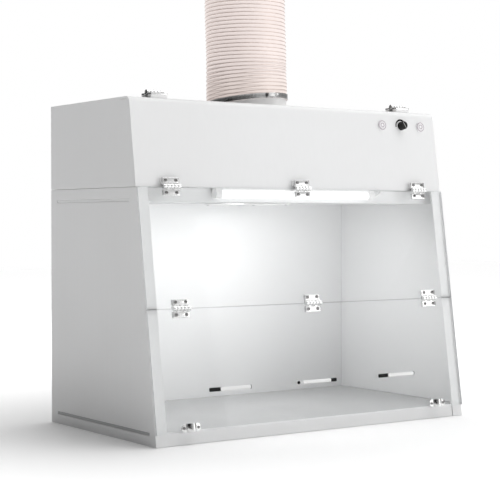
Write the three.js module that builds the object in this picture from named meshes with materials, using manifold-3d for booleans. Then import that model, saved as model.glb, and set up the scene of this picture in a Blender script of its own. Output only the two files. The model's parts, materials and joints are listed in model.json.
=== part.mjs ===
// Benchtop fume hood: a white plastic sheet cabinet with a bi-fold clear front, a fan header, and a
// round exhaust hose. Millimetres, +Z up, +X to the right of someone facing the hood, -Y towards them.
// The origin is the centre of the cabinet's footprint, on the surface that it stands on.
import * as THREE from "three";
import { mergeVertices } from "three/addons/utils/BufferGeometryUtils.js";
import Module from "manifold-3d";

const wasm = await Module();
wasm.setup();

// ---- cabinet ----
const WIDTH = 800;
const DEPTH = 434;
const HEIGHT = 680;
const SETBACK = 101.6; // how far the top front edge stands behind the bottom one
const SHEET = 5; // wall thickness of the plastic sheet
const GAP = 0.3; // between pieces that touch
const HEADER_HEIGHT = 179;
const SEAM_Z = HEIGHT - HEADER_HEIGHT; // where the header sits on the lower cabinet
const POST_WIDTH = 27; // front return of each side panel
const BACK_INSET = 6; // back panels stand in from the rear edges of the sides
const WORKTOP_Z = 26; // top face of the worktop
const RAIL_RECESS = 2;
const STIFFENER_DEPTH = 40;
const PLENUM_Z = SEAM_Z - 28; // underside of the drop ceiling
const RISER_GAP = 1.2; // between the lamp's end caps and the riser behind them
const TAB_INSET = 1; // tab ends stay this far inside the outer face
const TAB_BACK = 18; // clear length between a tab and the inner back wall
const TAB_FRONT = 14; // clear length between the worktop tab and its front edge

// ---- header cover ----
const BEND_R = 14; // outer radius of the bend between front sheet and top flange
const FLANGE_DEPTH = 31.5; // from the top front edge line back to the hinge line
const HINGE_SLIT = 1; // open slit on each hinge line

// ---- sash ----
const SASH = 5;
const SASH_SIDE = 1; // sash edges stand in from the cabinet's sides
const FOLD_Z = 262; // height of the fold line between the two sashes
const SASH_BOTTOM_Z = 23;

// ---- butt hinges ----
const HINGE_X = 325; // outer hinges of the sashes, each side of the middle one
const COVER_HINGE_X = 322;
const COVER_PACKING = 6; // blocks that lift the cover's hinges off its top
const LEAF_LENGTH = 40;
const LEAF_REACH = 18.5; // from the pin to the leaf's far edge
const LEAF = 4.5;
const LEAF_START = 6; // from the pin to the leaf's near edge
const PIN_HEIGHT = 6.5; // pin above the face that the leaves lie on
const BARREL_R = 5.2;
const PIN_R = 1.9;
const PIN_CLEARANCE = 0.35;
const KNUCKLES = 5;
const KNUCKLE_GAP = 0.4;
const PIN_SHORT = 1; // pin ends stop this far inside the barrel
const KNUCKLE_STEP = 0.6; // knuckle roots stand this far below the barrel's top

// ---- sash hardware ----
const BAR_SPACING = 217;
const BAR_SHIFT = -7; // the row of bars sits left of the middle
const BAR_Z = 101;
const BAR_LENGTH = 100;
const BAR_WIDTH = 8;
const BAR_THICK = 5;
const BAR_STANDOFF = 3;
const BAR_FOOT = 9;
const LOOP_X = 322;
const LOOP_Z = 32;
const LOOP_LENGTH = 45;
const LOOP_WIDTH = 17.5;
const LOOP_INNER_R = 9;
const LOOP_STRAP = 2.5;

// ---- controls ----
const CONTROL_Z = HEIGHT - 33;
const FAN_BUTTON_X = 245;
const LIGHT_BUTTON_X = 358;
const KNOB_X = 301;
const BEZEL_R = 10.75;
const BEZEL_HEIGHT = 2.8;
const BEZEL_CHAMFER = 0.8;
const SWITCH_R = 8.8;
const SWITCH_LENGTH = 26;
const BUTTON_R = 7.2;
const BUTTON_PROUD = 0.6; // also the chamfer round its face
const BUTTON_LENGTH = 6;
const BUTTON_TRAVEL = 2.5;
const HOLE_CLEARANCE = 0.4;
const KNOB_R = 9.5;
const KNOB_HEIGHT = 14.5;
const KNOB_BASE = 0.8; // above the front
const KNOB_TAPER = 0.7;
const KNOB_CHAMFER = 1;
const POINTER = { half: 0.8, start: 1, short: 1.5, step: 0.5 }; // raised line on the knob's face
const KNOB_START_DEG = 30; // the pointer stands this far anticlockwise of straight up
const POT_R = 12;
const POT_LENGTH = 12;
const BUSHING_R = 4.8;
const BUSHING_TOP = 0.2;
const SPINDLE_R = 3;
const SPINDLE_DEPTH = 9;
const BORE_SPARE = 2; // a bore goes this much deeper than the shaft in it

// ---- exhaust path ----
const DUCT_Y = 53; // the duct's centre line, behind the origin
const COLLAR_R = 88;
const COLLAR_WALL = 3;
const COLLAR_FLANGE = 12;
const COLLAR_TOP = 48; // above the header's top face
const HOSE_WALL = 1.5;
const HOSE_START = 11; // mean height of the hose's lower edge above the header's top face
const HOSE_TOP = 960;
const HOSE_LEAN = 0.026; // sideways per unit of height, above the collar
const HOSE_SKEW = [0.063, -0.095]; // tilt of the hose's lower edge and clamp: rise along x and along y
const HOSE_SETTLE = 70; // height over which that tilt fades out, above the collar
const CLAMP_HEIGHT = 11;
const CLAMP_THICK = 0.9;
const CLAMP_START = 13.5;
const WORM_HOUSING = { half: 11, rise: 7, lap: 0.5 };
const WORM_HEAD = { radius: 3.2, from: 10, to: 17, out: 4.5 };
const CUFF_HEIGHT = 26;
const CUFF_WALL = 3;
const CUFF_ROOM = 0.9; // between the hose and the cuff round it, where the hose leans
const FAN_WALL = 3;
const FAN_FLANGE = 12;
const INTAKE_R = 85;
const GRILLE_MARGIN = 9;
const GRILLE_THICK = 2.5;
const GRILLE_RINGS = [0.32, 0.66]; // mean radii as shares of the intake's
const GRILLE_HALF_BAR = 2;
const GRILLE_LAP = 3; // rim laps over the intake's edge
const MOTOR_R = 34;
const MOTOR_HEIGHT = 52;
const MOTOR_CHAMFER = 3;
const SPIDER_THICK = 6;
const SPIDER_LIFT = 16; // spider above the header floor
const SPIDER_ARMS = 3;
const SPIDER_HALF_ARM = 4;
const ARM_CLEARANCE = 1;
const HUB_R = 36;
const HUB_HEIGHT = 26;
const HUB_LIFT = 4; // above the motor
const HUB_CHAMFER = 6;
const BLADES = 7;
const BLADE_THICK = 2.5;
const BLADE_TURN = Math.PI / 5; // off upright
const BLADE_SPARE = 1.5; // a blade is cut from a plate this many times the hub's height
const BLADE_TIP_GAP = 2.5;
const SHAFT_R = 4;
const SHAFT_DEPTH = 14;

// ---- lamp ----
const LAMP_LENGTH = 420;
const LAMP_INSET = 6.1; // lamp's axis behind the cover's inner face, at the header's foot
const TUBE_R = 8.5;
const CAP_R = 9.8;
const CAP_LENGTH = 16;
const LAMP_BASE = 2.7;
const LAMP_BASE_WIDTH = 14;
const LEAD_R = 2.2;
const LEAD_REACH = 22;
const LEAD_STRAIGHT = 8; // out of the cap before it bends
const LEAD_BEND = 4;
const LEAD_END = 10; // above the header floor

// ---- electrics in the header ----
const BOX_SIZE = [120, 80, 40];
const BOX_X = 215;
const INLET_X = 300;
const INLET_Z = HEIGHT - 120;
const INLET_FLANGE = [50, 3, 30];
const INLET_BODY = [29, 26, 21];
const INLET_WALL = 3;
const INLET_SOCKET_DEPTH = 14;

// ---- worked out ----
const HALF = WIDTH / 2;
const BACK = DEPTH / 2;
const LEAN = SETBACK / HEIGHT;
const LEAN_ANGLE = Math.atan(LEAN);
const COS = Math.cos(LEAN_ANGLE);
const FRONT = -BACK;
const WALL_BACK = BACK - BACK_INSET; // outer face of the back panels
const INNER_BACK = WALL_BACK - SHEET;
const INNER_HALF = HALF - SHEET;
const CLEAR_HALF = INNER_HALF - GAP;
const HEADER_FLOOR_Z = SEAM_Z + GAP;
const HEADER_FLOOR_TOP = HEADER_FLOOR_Z + SHEET;
const LOWER_TOP = SEAM_Z - GAP;
const UNDER_TOP = HEIGHT - SHEET;
const COVER_HINGE_Y = FRONT + SETBACK + FLANGE_DEPTH;
const SASH_FACE = GAP + SASH; // outer face of the sashes, out from the front plane
const SEAM_U = SEAM_Z / COS;
const FOLD_U = FOLD_Z / COS;

// y of a line parallel to the front plane, "out" in front of it, at height z
const frontY = (z, out = 0) => FRONT + LEAN * z - out / COS;

// ---- materials ----
const finish = (color, roughness, metalness = 0, opacity = 1) =>
  new THREE.MeshStandardMaterial({
    color, roughness, metalness, opacity, transparent: opacity < 1,
  });
const white = finish("#f1f2f3", 0.55);
const grey = finish("#c9cbcd", 0.35);
const clear = finish("#eef3f4", 0.05, 0, 0.25);
const chrome = finish("#c8cacc", 0.15, 1);
const steel = finish("#a9abad", 0.35, 1);
const black = finish("#161616", 0.5);
const darkGrey = finish("#55575a", 0.6);
const glow = finish("#ffffff", 0.3);
const pale = finish("#e9e6ee", 0.4);
const film = finish("#e6cfc2", 0.4, 0, 0.8);

// ---- solids ----
const solidOf = (geometry) => {
  const bare = geometry.index ? geometry.toNonIndexed() : geometry.clone();
  bare.deleteAttribute("normal");
  bare.deleteAttribute("uv");
  const merged = mergeVertices(bare, 1e-4);
  return new wasm.Manifold(new wasm.Mesh({
    numProp: 3,
    vertProperties: merged.attributes.position.array,
    triVerts: new Uint32Array(merged.index.array),
  }));
};

const geometryOf = (solid) => {
  const mesh = solid.getMesh();
  const geometry = new THREE.BufferGeometry();
  geometry.setAttribute("position", new THREE.BufferAttribute(mesh.vertProperties, 3));
  geometry.setIndex(new THREE.BufferAttribute(mesh.triVerts, 1));
  const faceted = geometry.toNonIndexed();
  faceted.computeVertexNormals();
  return faceted;
};

const join = (...parts) => geometryOf(parts.map(solidOf).reduce((a, b) => a.add(b)));
const cut = (body, ...tools) => geometryOf(tools.map(solidOf).reduce((a, b) => a.subtract(b), solidOf(body)));
const keep = (body, mask) => geometryOf(solidOf(body).intersect(solidOf(mask)));

// a box between two corners
const box = (x0, x1, y0, y1, z0, z1) =>
  new THREE.BoxGeometry(x1 - x0, y1 - y0, z1 - z0)
    .translate((x0 + x1) / 2, (y0 + y1) / 2, (z0 + z1) / 2);

// an outline of [y, z] points carried from x0 to x1
const alongX = (outline, x0, x1) => {
  const shape = new THREE.Shape(outline.map(([y, z]) => new THREE.Vector2(y, z)));
  const axes = new THREE.Matrix4().makeBasis(
    new THREE.Vector3(0, 1, 0), new THREE.Vector3(0, 0, 1), new THREE.Vector3(1, 0, 0));
  return new THREE.ExtrudeGeometry(shape, { depth: x1 - x0, bevelEnabled: false })
    .applyMatrix4(axes)
    .translate(x0, 0, 0);
};

// a closed outline of [radius, z] points turned about the z axis
const turned = (profile, segments = 32) => {
  const points = [...profile, profile[0]].map(([r, z]) => new THREE.Vector2(r, z));
  return new THREE.LatheGeometry(points, segments).rotateX(Math.PI / 2);
};

// a ring between two radii and two heights
const ring = (inner, outer, z0, z1, segments = 32) =>
  turned([[inner, z0], [outer, z0], [outer, z1], [inner, z1]], segments);

const rod = (radius, length, segments = 24) =>
  new THREE.CylinderGeometry(radius, radius, length, segments);
const rodX = (radius, x0, x1, segments) =>
  rod(radius, x1 - x0, segments).rotateZ(Math.PI / 2).translate((x0 + x1) / 2, 0, 0);
const rodZ = (radius, z0, z1, segments) =>
  rod(radius, z1 - z0, segments).rotateX(Math.PI / 2).translate(0, 0, (z0 + z1) / 2);

// a piece turned about z becomes one turned about the front plane's outward normal
const facingOut = (geometry) => geometry.rotateX(Math.PI / 2);

// ---- scene graph ----
const hood = new THREE.Group();
const front = new THREE.Group(); // x along the hood, -y out of the front plane, z up the front plane
front.position.set(0, FRONT, 0);
front.rotation.x = -LEAN_ANGLE;
hood.add(front);

const piece = (name, geometry, material, group = hood, x = 0, y = 0, z = 0) => {
  const mesh = new THREE.Mesh(geometry, material);
  mesh.name = name;
  mesh.position.set(x, y, z);
  group.add(mesh);
  return mesh;
};
const onBothSides = (make) => [["left", -1], ["right", 1]].forEach(([side, sign]) => make(side, sign));
const mirrored = (sign, a, b) => (sign < 0 ? [-b, -a] : [a, b]);

// ---- lower cabinet ----
const LAMP_Y = frontY(LOWER_TOP, -SHEET) + LAMP_INSET;
const RISER_Y = LAMP_Y + CAP_R + RISER_GAP;
const PLENUM_TAB = [RISER_Y + SHEET, INNER_BACK - TAB_BACK];
const WORKTOP_FRONT = frontY(WORKTOP_Z - SHEET, -RAIL_RECESS - SHEET - GAP) + LEAN * SHEET;
const WORKTOP_TAB = [WORKTOP_FRONT + TAB_FRONT, INNER_BACK - TAB_BACK];

const slot = (tab, z0, sign) => {
  const [x0, x1] = mirrored(sign, INNER_HALF - 1, HALF + 1);
  return box(x0, x1, tab[0] - GAP, tab[1] + GAP, z0 - GAP, z0 + SHEET + GAP);
};

const sidePanel = (sign) => {
  const outline = [[frontY(0), 0], [BACK, 0], [BACK, LOWER_TOP], [frontY(LOWER_TOP), LOWER_TOP]];
  const post = [
    [frontY(0), 0], [frontY(0, -SHEET), 0],
    [frontY(LOWER_TOP, -SHEET), LOWER_TOP], [frontY(LOWER_TOP), LOWER_TOP],
  ];
  const panel = join(
    alongX(outline, ...mirrored(sign, INNER_HALF, HALF)),
    alongX(post, ...mirrored(sign, HALF - POST_WIDTH, HALF)),
  );
  return cut(panel, slot(PLENUM_TAB, PLENUM_Z, sign), slot(WORKTOP_TAB, WORKTOP_Z - SHEET, sign));
};
onBothSides((side, sign) => piece(side + "_side_panel", sidePanel(sign), white));

piece("back_panel", box(-CLEAR_HALF, CLEAR_HALF, INNER_BACK, WALL_BACK, 0, LOWER_TOP), white);

// a sheet between the sides, with a tab on each end that fills its slot
const tabbed = (sheet, tab, z0) =>
  join(sheet, box(-HALF + TAB_INSET, HALF - TAB_INSET, tab[0], tab[1], z0, z0 + SHEET));

const worktop = box(-CLEAR_HALF, CLEAR_HALF, WORKTOP_FRONT, INNER_BACK - GAP, WORKTOP_Z - SHEET, WORKTOP_Z);
piece("worktop", tabbed(worktop, WORKTOP_TAB, WORKTOP_Z - SHEET), grey);

const RAIL_HALF = HALF - POST_WIDTH - GAP;
const railOutline = [
  [frontY(0, -RAIL_RECESS), 0], [frontY(0, -RAIL_RECESS - SHEET), 0],
  [frontY(WORKTOP_Z, -RAIL_RECESS - SHEET), WORKTOP_Z], [frontY(WORKTOP_Z, -RAIL_RECESS), WORKTOP_Z],
];
piece("front_rail", alongX(railOutline, -RAIL_HALF, RAIL_HALF), white);

piece("base_stiffener", box(-CLEAR_HALF, CLEAR_HALF, -STIFFENER_DEPTH / 2, STIFFENER_DEPTH / 2,
  0, WORKTOP_Z - SHEET - GAP), white);

// ---- drop ceiling and its intake ----
const ceiling = join(
  box(-CLEAR_HALF, CLEAR_HALF, RISER_Y, INNER_BACK - GAP, PLENUM_Z, PLENUM_Z + SHEET),
  box(-CLEAR_HALF, CLEAR_HALF, RISER_Y, RISER_Y + SHEET, PLENUM_Z, LOWER_TOP),
  box(-HALF + TAB_INSET, HALF - TAB_INSET, ...PLENUM_TAB, PLENUM_Z, PLENUM_Z + SHEET),
);
const intakeHole = rodZ(INTAKE_R, PLENUM_Z - 1, PLENUM_Z + SHEET + 1, 40).translate(0, DUCT_Y, 0);
piece("plenum_panel", cut(ceiling, intakeHole), white);

const intakeGrille = () => {
  const rings = GRILLE_RINGS.map((share) =>
    ring(INTAKE_R * share - GRILLE_HALF_BAR, INTAKE_R * share + GRILLE_HALF_BAR, 0, GRILLE_THICK, 18));
  const rim = ring(INTAKE_R - GRILLE_LAP, INTAKE_R + GRILLE_MARGIN, 0, GRILLE_THICK, 36);
  const spokes = [0, 1, 2].map((i) =>
    box(-INTAKE_R, INTAKE_R, -GRILLE_HALF_BAR, GRILLE_HALF_BAR, 0, GRILLE_THICK)
      .rotateZ((i * Math.PI) / 3));
  return join(rim, ...rings, ...spokes);
};
piece("intake_grille", intakeGrille(), darkGrey, hood, 0, DUCT_Y, PLENUM_Z - GAP - GRILLE_THICK);

// ---- header ----
// the header's front outline, "inside" the cover's outer face, from height z0 to the top flange
const headerFront = (inside, z0) => {
  const centreZ = HEIGHT - BEND_R;
  const centreY = frontY(centreZ, -BEND_R);
  const steps = 8;
  const from = Math.PI - LEAN_ANGLE;
  const points = [[frontY(z0, -inside), z0]];
  for (let i = 0; i <= steps; i++) {
    const angle = from + ((Math.PI / 2 - from) * i) / steps;
    points.push([
      centreY + (BEND_R - inside) * Math.cos(angle),
      centreZ + (BEND_R - inside) * Math.sin(angle),
    ]);
  }
  return points;
};

const headerSide = (sign) => {
  const outline = [
    ...headerFront(SHEET + GAP, HEADER_FLOOR_Z),
    [COVER_HINGE_Y, UNDER_TOP - GAP], [COVER_HINGE_Y, HEIGHT], [BACK, HEIGHT], [BACK, HEADER_FLOOR_Z],
  ];
  return alongX(outline.reverse(), ...mirrored(sign, INNER_HALF, HALF));
};
onBothSides((side, sign) => piece("header_" + side + "_side", headerSide(sign), white));

const inletHole = box(
  INLET_X - INLET_BODY[0] / 2 - GAP, INLET_X + INLET_BODY[0] / 2 + GAP, INNER_BACK - 1, WALL_BACK + 1,
  INLET_Z - INLET_BODY[2] / 2 - GAP, INLET_Z + INLET_BODY[2] / 2 + GAP);
piece("header_back", cut(
  box(-CLEAR_HALF, CLEAR_HALF, INNER_BACK, WALL_BACK, HEADER_FLOOR_Z, UNDER_TOP - GAP), inletHole), white);

const LEAD_X = LAMP_LENGTH / 2 + LEAD_REACH;
const fanHole = rodZ(INTAKE_R, HEADER_FLOOR_Z - 1, HEADER_FLOOR_TOP + 1, 40).translate(0, DUCT_Y, 0);
const leadHole = rodZ(LEAD_R + HOLE_CLEARANCE, HEADER_FLOOR_Z - 1, HEADER_FLOOR_TOP + 1, 12)
  .translate(LEAD_X, LAMP_Y, 0);
const headerFloor = box(-CLEAR_HALF, CLEAR_HALF, frontY(HEADER_FLOOR_TOP, -SHEET - GAP), INNER_BACK - GAP,
  HEADER_FLOOR_Z, HEADER_FLOOR_TOP);
piece("header_floor", cut(headerFloor, fanHole, leadHole), white);

const ductHole = rodZ(COLLAR_R + HOLE_CLEARANCE, UNDER_TOP - 1, HEIGHT + 1, 36).translate(0, DUCT_Y, 0);
piece("header_top", cut(
  box(-CLEAR_HALF, CLEAR_HALF, COVER_HINGE_Y + HINGE_SLIT / 2, BACK, UNDER_TOP, HEIGHT), ductHole), white);

// ---- fan, motor and duct ----
const duct = new THREE.Group();
duct.position.set(0, DUCT_Y, 0);
hood.add(duct);

const collarProfile = [
  [COLLAR_R - COLLAR_WALL, UNDER_TOP - GAP - COLLAR_WALL],
  [COLLAR_R + COLLAR_FLANGE, UNDER_TOP - GAP - COLLAR_WALL],
  [COLLAR_R + COLLAR_FLANGE, UNDER_TOP - GAP],
  [COLLAR_R, UNDER_TOP - GAP],
  [COLLAR_R, HEIGHT + COLLAR_TOP],
  [COLLAR_R - COLLAR_WALL, HEIGHT + COLLAR_TOP],
];
piece("duct_collar", turned(collarProfile, 36), white, duct);

// The hose stands upright over the collar, then leans; its lower end sits askew, less so higher up.
const shapeHose = (geometry) => {
  const position = geometry.attributes.position;
  const collarTop = HEIGHT + COLLAR_TOP;
  for (let i = 0; i < position.count; i++) {
    const [x, y, z] = [position.getX(i), position.getY(i), position.getZ(i)];
    const lean = HOSE_LEAN * Math.max(0, z - collarTop);
    const fade = Math.min(1, Math.max(0, (collarTop + HOSE_SETTLE - z) / HOSE_SETTLE));
    position.setXYZ(i, x - lean, y, z + fade * (HOSE_SKEW[0] * x + HOSE_SKEW[1] * y));
  }
  return geometry;
};
const HOSE_INNER = COLLAR_R + HOLE_CLEARANCE;
const HOSE_OUTER = HOSE_INNER + HOSE_WALL;
const HOSE_BASE = HEIGHT + HOSE_START;
const hoseLevels = [HOSE_BASE, HEIGHT + COLLAR_TOP, HEIGHT + COLLAR_TOP + HOSE_SETTLE, HOSE_TOP];
const hoseProfile = [
  ...hoseLevels.map((z) => [HOSE_OUTER, z]),
  ...hoseLevels.toReversed().map((z) => [HOSE_INNER, z]),
];
piece("duct_hose", shapeHose(turned(hoseProfile, 36)), film, duct);

const CLAMP_BASE = HEIGHT + CLAMP_START;
const BAND_INNER = HOSE_OUTER + GAP;
const BAND_OUTER = BAND_INNER + CLAMP_THICK;
const band = ring(BAND_INNER, BAND_OUTER, CLAMP_BASE, CLAMP_BASE + CLAMP_HEIGHT, 36);
piece("clamp_band", shapeHose(band), steel, duct);

// worm housing and its hexagon head, on the band's front
const housingY = -BAND_OUTER - GAP;
const wormHousing = shapeHose(join(
  box(-WORM_HOUSING.half, WORM_HOUSING.half, housingY - WORM_HOUSING.rise, housingY,
    CLAMP_BASE - WORM_HOUSING.lap, CLAMP_BASE + CLAMP_HEIGHT + WORM_HOUSING.lap),
  rodX(WORM_HEAD.radius, WORM_HEAD.from, WORM_HEAD.to, 6)
    .translate(0, housingY - WORM_HEAD.out, CLAMP_BASE + CLAMP_HEIGHT / 2),
));
piece("clamp_screw", wormHousing, steel, duct);

const cuffLean = HOSE_LEAN * (HOSE_TOP - CUFF_HEIGHT - HEIGHT - COLLAR_TOP);
const CUFF_INNER = HOSE_OUTER + CUFF_ROOM;
const cuffProfile = [
  [CUFF_INNER, HOSE_TOP - CUFF_HEIGHT],
  [CUFF_INNER + CUFF_WALL, HOSE_TOP - CUFF_HEIGHT],
  [CUFF_INNER + CUFF_WALL, HOSE_TOP + GAP + CUFF_WALL],
  [HOSE_INNER, HOSE_TOP + GAP + CUFF_WALL],
  [HOSE_INNER, HOSE_TOP + GAP],
  [CUFF_INNER, HOSE_TOP + GAP],
];
piece("hose_cuff", turned(cuffProfile, 36), white, duct, -cuffLean - (HOSE_LEAN * CUFF_HEIGHT) / 2);

const FAN_BASE = HEADER_FLOOR_TOP + GAP;
const FAN_TOP = UNDER_TOP - COLLAR_WALL - 2 * GAP;
const fanProfile = [
  [INTAKE_R, FAN_BASE], [INTAKE_R + FAN_WALL + FAN_FLANGE, FAN_BASE],
  [INTAKE_R + FAN_WALL + FAN_FLANGE, FAN_BASE + FAN_WALL], [INTAKE_R + FAN_WALL, FAN_BASE + FAN_WALL],
  [INTAKE_R + FAN_WALL, FAN_TOP], [INTAKE_R, FAN_TOP],
];
piece("fan_housing", turned(fanProfile, 32), darkGrey, duct);

const SPIDER_Z = FAN_BASE + SPIDER_LIFT;
const spider = join(
  rodZ(MOTOR_R, SPIDER_Z, SPIDER_Z + SPIDER_THICK, 24),
  ...Array.from({ length: SPIDER_ARMS }, (_, i) =>
    box(0, INTAKE_R - ARM_CLEARANCE, -SPIDER_HALF_ARM, SPIDER_HALF_ARM, SPIDER_Z, SPIDER_Z + SPIDER_THICK)
      .rotateZ((i * 2 * Math.PI) / SPIDER_ARMS + Math.PI / 2)),
);
piece("motor_spider", spider, darkGrey, duct);

const MOTOR_Z = SPIDER_Z + SPIDER_THICK + GAP;
const MOTOR_TOP = MOTOR_Z + MOTOR_HEIGHT;
const SHAFT_BORE_Z = MOTOR_TOP - SHAFT_DEPTH - BORE_SPARE;
const motorProfile = [
  [0, MOTOR_Z], [MOTOR_R, MOTOR_Z], [MOTOR_R, MOTOR_TOP - MOTOR_CHAMFER],
  [MOTOR_R - MOTOR_CHAMFER, MOTOR_TOP], [SHAFT_R + HOLE_CLEARANCE, MOTOR_TOP],
  [SHAFT_R + HOLE_CLEARANCE, SHAFT_BORE_Z], [0, SHAFT_BORE_Z],
];
piece("fan_motor", turned(motorProfile, 28), steel, duct);

const HUB_Z = MOTOR_TOP + HUB_LIFT;
const bladeTip = INTAKE_R - BLADE_TIP_GAP;
const blade = (i) => new THREE.BoxGeometry(2 * bladeTip, HUB_HEIGHT * BLADE_SPARE, BLADE_THICK)
  .translate(bladeTip, 0, 0)
  .rotateX(BLADE_TURN)
  .translate(0, 0, HUB_Z + HUB_HEIGHT / 2)
  .rotateZ((i * 2 * Math.PI) / BLADES);
const sweep = rodZ(bladeTip, HUB_Z, HUB_Z + HUB_HEIGHT, 40);
const blades = keep(join(...Array.from({ length: BLADES }, (_, i) => blade(i))), sweep);
const hub = turned([
  [0, HUB_Z], [HUB_R, HUB_Z], [HUB_R, HUB_Z + HUB_HEIGHT - HUB_CHAMFER],
  [HUB_R - HUB_CHAMFER, HUB_Z + HUB_HEIGHT], [0, HUB_Z + HUB_HEIGHT],
], 28);
const shaft = rodZ(SHAFT_R, MOTOR_TOP - SHAFT_DEPTH, HUB_Z + 1, 16);
piece("fan_impeller", join(hub, shaft, blades), black, duct);

// ---- lamp under the header floor ----
const TUBE_Z = LOWER_TOP - LAMP_BASE - GAP - TUBE_R;
const LAMP_HALF = LAMP_LENGTH / 2;
const lamp = new THREE.Group();
lamp.position.set(0, LAMP_Y, 0);
hood.add(lamp);
piece("lamp_base", box(-LAMP_HALF + CAP_LENGTH + GAP, LAMP_HALF - CAP_LENGTH - GAP,
  -LAMP_BASE_WIDTH / 2, LAMP_BASE_WIDTH / 2, LOWER_TOP - LAMP_BASE, LOWER_TOP), white, lamp);
piece("lamp_tube", rodX(TUBE_R, -LAMP_HALF + CAP_LENGTH + GAP, LAMP_HALF - CAP_LENGTH - GAP, 24)
  .translate(0, 0, TUBE_Z), glow, lamp);
onBothSides((side, sign) => {
  const [x0, x1] = mirrored(sign, LAMP_HALF - CAP_LENGTH, LAMP_HALF);
  const cap = join(
    rodX(CAP_R, x0, x1, 24).translate(0, 0, TUBE_Z),
    box(x0, x1, -LAMP_BASE_WIDTH / 2, LAMP_BASE_WIDTH / 2, TUBE_Z, LOWER_TOP),
  );
  piece("lamp_" + side + "_cap", cap, white, lamp);
});
const leadPath = new THREE.CatmullRomCurve3([
  [LAMP_HALF + GAP, TUBE_Z], [LAMP_HALF + LEAD_STRAIGHT, TUBE_Z],
  [LEAD_X - LEAD_BEND, TUBE_Z + LEAD_BEND], [LEAD_X, LOWER_TOP - LEAD_BEND / 2],
  [LEAD_X, HEADER_FLOOR_TOP], [LEAD_X, HEADER_FLOOR_TOP + LEAD_END],
].map(([x, z]) => new THREE.Vector3(x, 0, z)));
const leadSection = new THREE.Shape().absarc(0, 0, LEAD_R, 0, 2 * Math.PI);
piece("lamp_lead", new THREE.ExtrudeGeometry(leadSection, {
  steps: 12, curveSegments: 4, extrudePath: leadPath, bevelEnabled: false,
}), white, lamp);

// ---- electrics ----
piece("control_box", new THREE.BoxGeometry(...BOX_SIZE), darkGrey, hood,
  BOX_X, DUCT_Y, HEADER_FLOOR_TOP + GAP + BOX_SIZE[2] / 2);
const inlet = join(
  box(-INLET_FLANGE[0] / 2, INLET_FLANGE[0] / 2, WALL_BACK + GAP, WALL_BACK + GAP + INLET_FLANGE[1],
    -INLET_FLANGE[2] / 2, INLET_FLANGE[2] / 2),
  box(-INLET_BODY[0] / 2, INLET_BODY[0] / 2, WALL_BACK + 1 - INLET_BODY[1], WALL_BACK + 1,
    -INLET_BODY[2] / 2, INLET_BODY[2] / 2),
);
const socket = box(INLET_WALL - INLET_BODY[0] / 2, INLET_BODY[0] / 2 - INLET_WALL,
  WALL_BACK - INLET_SOCKET_DEPTH, WALL_BACK + 2 * INLET_FLANGE[1],
  INLET_WALL - INLET_BODY[2] / 2, INLET_BODY[2] / 2 - INLET_WALL);
piece("power_inlet", cut(inlet, socket), black, hood, INLET_X, 0, INLET_Z);

// ---- header cover ----
const coverOutline = [
  ...headerFront(0, SEAM_Z + HINGE_SLIT / 2),
  [COVER_HINGE_Y - HINGE_SLIT / 2, HEIGHT],
  [COVER_HINGE_Y - HINGE_SLIT / 2, UNDER_TOP],
  ...headerFront(SHEET, SEAM_Z + HINGE_SLIT / 2).reverse(),
].reverse();
const CONTROL_U = CONTROL_Z / COS;
const onFront = (geometry) => geometry.rotateX(-LEAN_ANGLE).translate(0, FRONT, 0);
const controlHole = (x, radius) => onFront(
  facingOut(rodZ(radius, -SHEET * 2, SHEET * 2, 24)).translate(x, 0, CONTROL_U));
piece("header_cover", cut(
  alongX(coverOutline, -HALF, HALF),
  controlHole(FAN_BUTTON_X, SWITCH_R + HOLE_CLEARANCE),
  controlHole(LIGHT_BUTTON_X, SWITCH_R + HOLE_CLEARANCE),
  controlHole(KNOB_X, BUSHING_R + HOLE_CLEARANCE),
), white);

// ---- push buttons and speed knob ----
const BORE_R = BUTTON_R + HOLE_CLEARANCE;
const BORE_DEPTH = BUTTON_LENGTH + BUTTON_TRAVEL + 1;
const BORE_FLOOR = BEZEL_HEIGHT + BUTTON_PROUD - BORE_DEPTH;
const switchBody = () => facingOut(turned([
  [0, -SWITCH_LENGTH], [SWITCH_R, -SWITCH_LENGTH], [SWITCH_R, GAP], [BEZEL_R, GAP],
  [BEZEL_R, BEZEL_HEIGHT - BEZEL_CHAMFER], [BEZEL_R - BEZEL_CHAMFER, BEZEL_HEIGHT],
  [BORE_R, BEZEL_HEIGHT],
  [BORE_R, BORE_FLOOR], [0, BORE_FLOOR],
], 24));
const BUTTON_TOP = BEZEL_HEIGHT + BUTTON_PROUD;
const buttonCap = () => facingOut(turned([
  [0, BUTTON_TOP - BUTTON_LENGTH], [BUTTON_R, BUTTON_TOP - BUTTON_LENGTH],
  [BUTTON_R, BEZEL_HEIGHT], [BUTTON_R - BUTTON_PROUD, BUTTON_TOP], [0, BUTTON_TOP],
], 24));
[["fan", FAN_BUTTON_X], ["light", LIGHT_BUTTON_X]].forEach(([name, x]) => {
  piece(name + "_switch_body", switchBody(), pale, front, x, 0, CONTROL_U);
  piece(name + "_button", buttonCap(), pale, front, x, 0, CONTROL_U);
});

const speedControl = facingOut(turned([
  [0, -SHEET - GAP - POT_LENGTH], [POT_R, -SHEET - GAP - POT_LENGTH], [POT_R, -SHEET - GAP],
  [BUSHING_R, -SHEET - GAP], [BUSHING_R, BUSHING_TOP], [SPINDLE_R + HOLE_CLEARANCE, BUSHING_TOP],
  [SPINDLE_R + HOLE_CLEARANCE, -SPINDLE_DEPTH - BORE_SPARE], [0, -SPINDLE_DEPTH - BORE_SPARE],
], 24));
piece("speed_control", speedControl, darkGrey, front, KNOB_X, 0, CONTROL_U);

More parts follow.
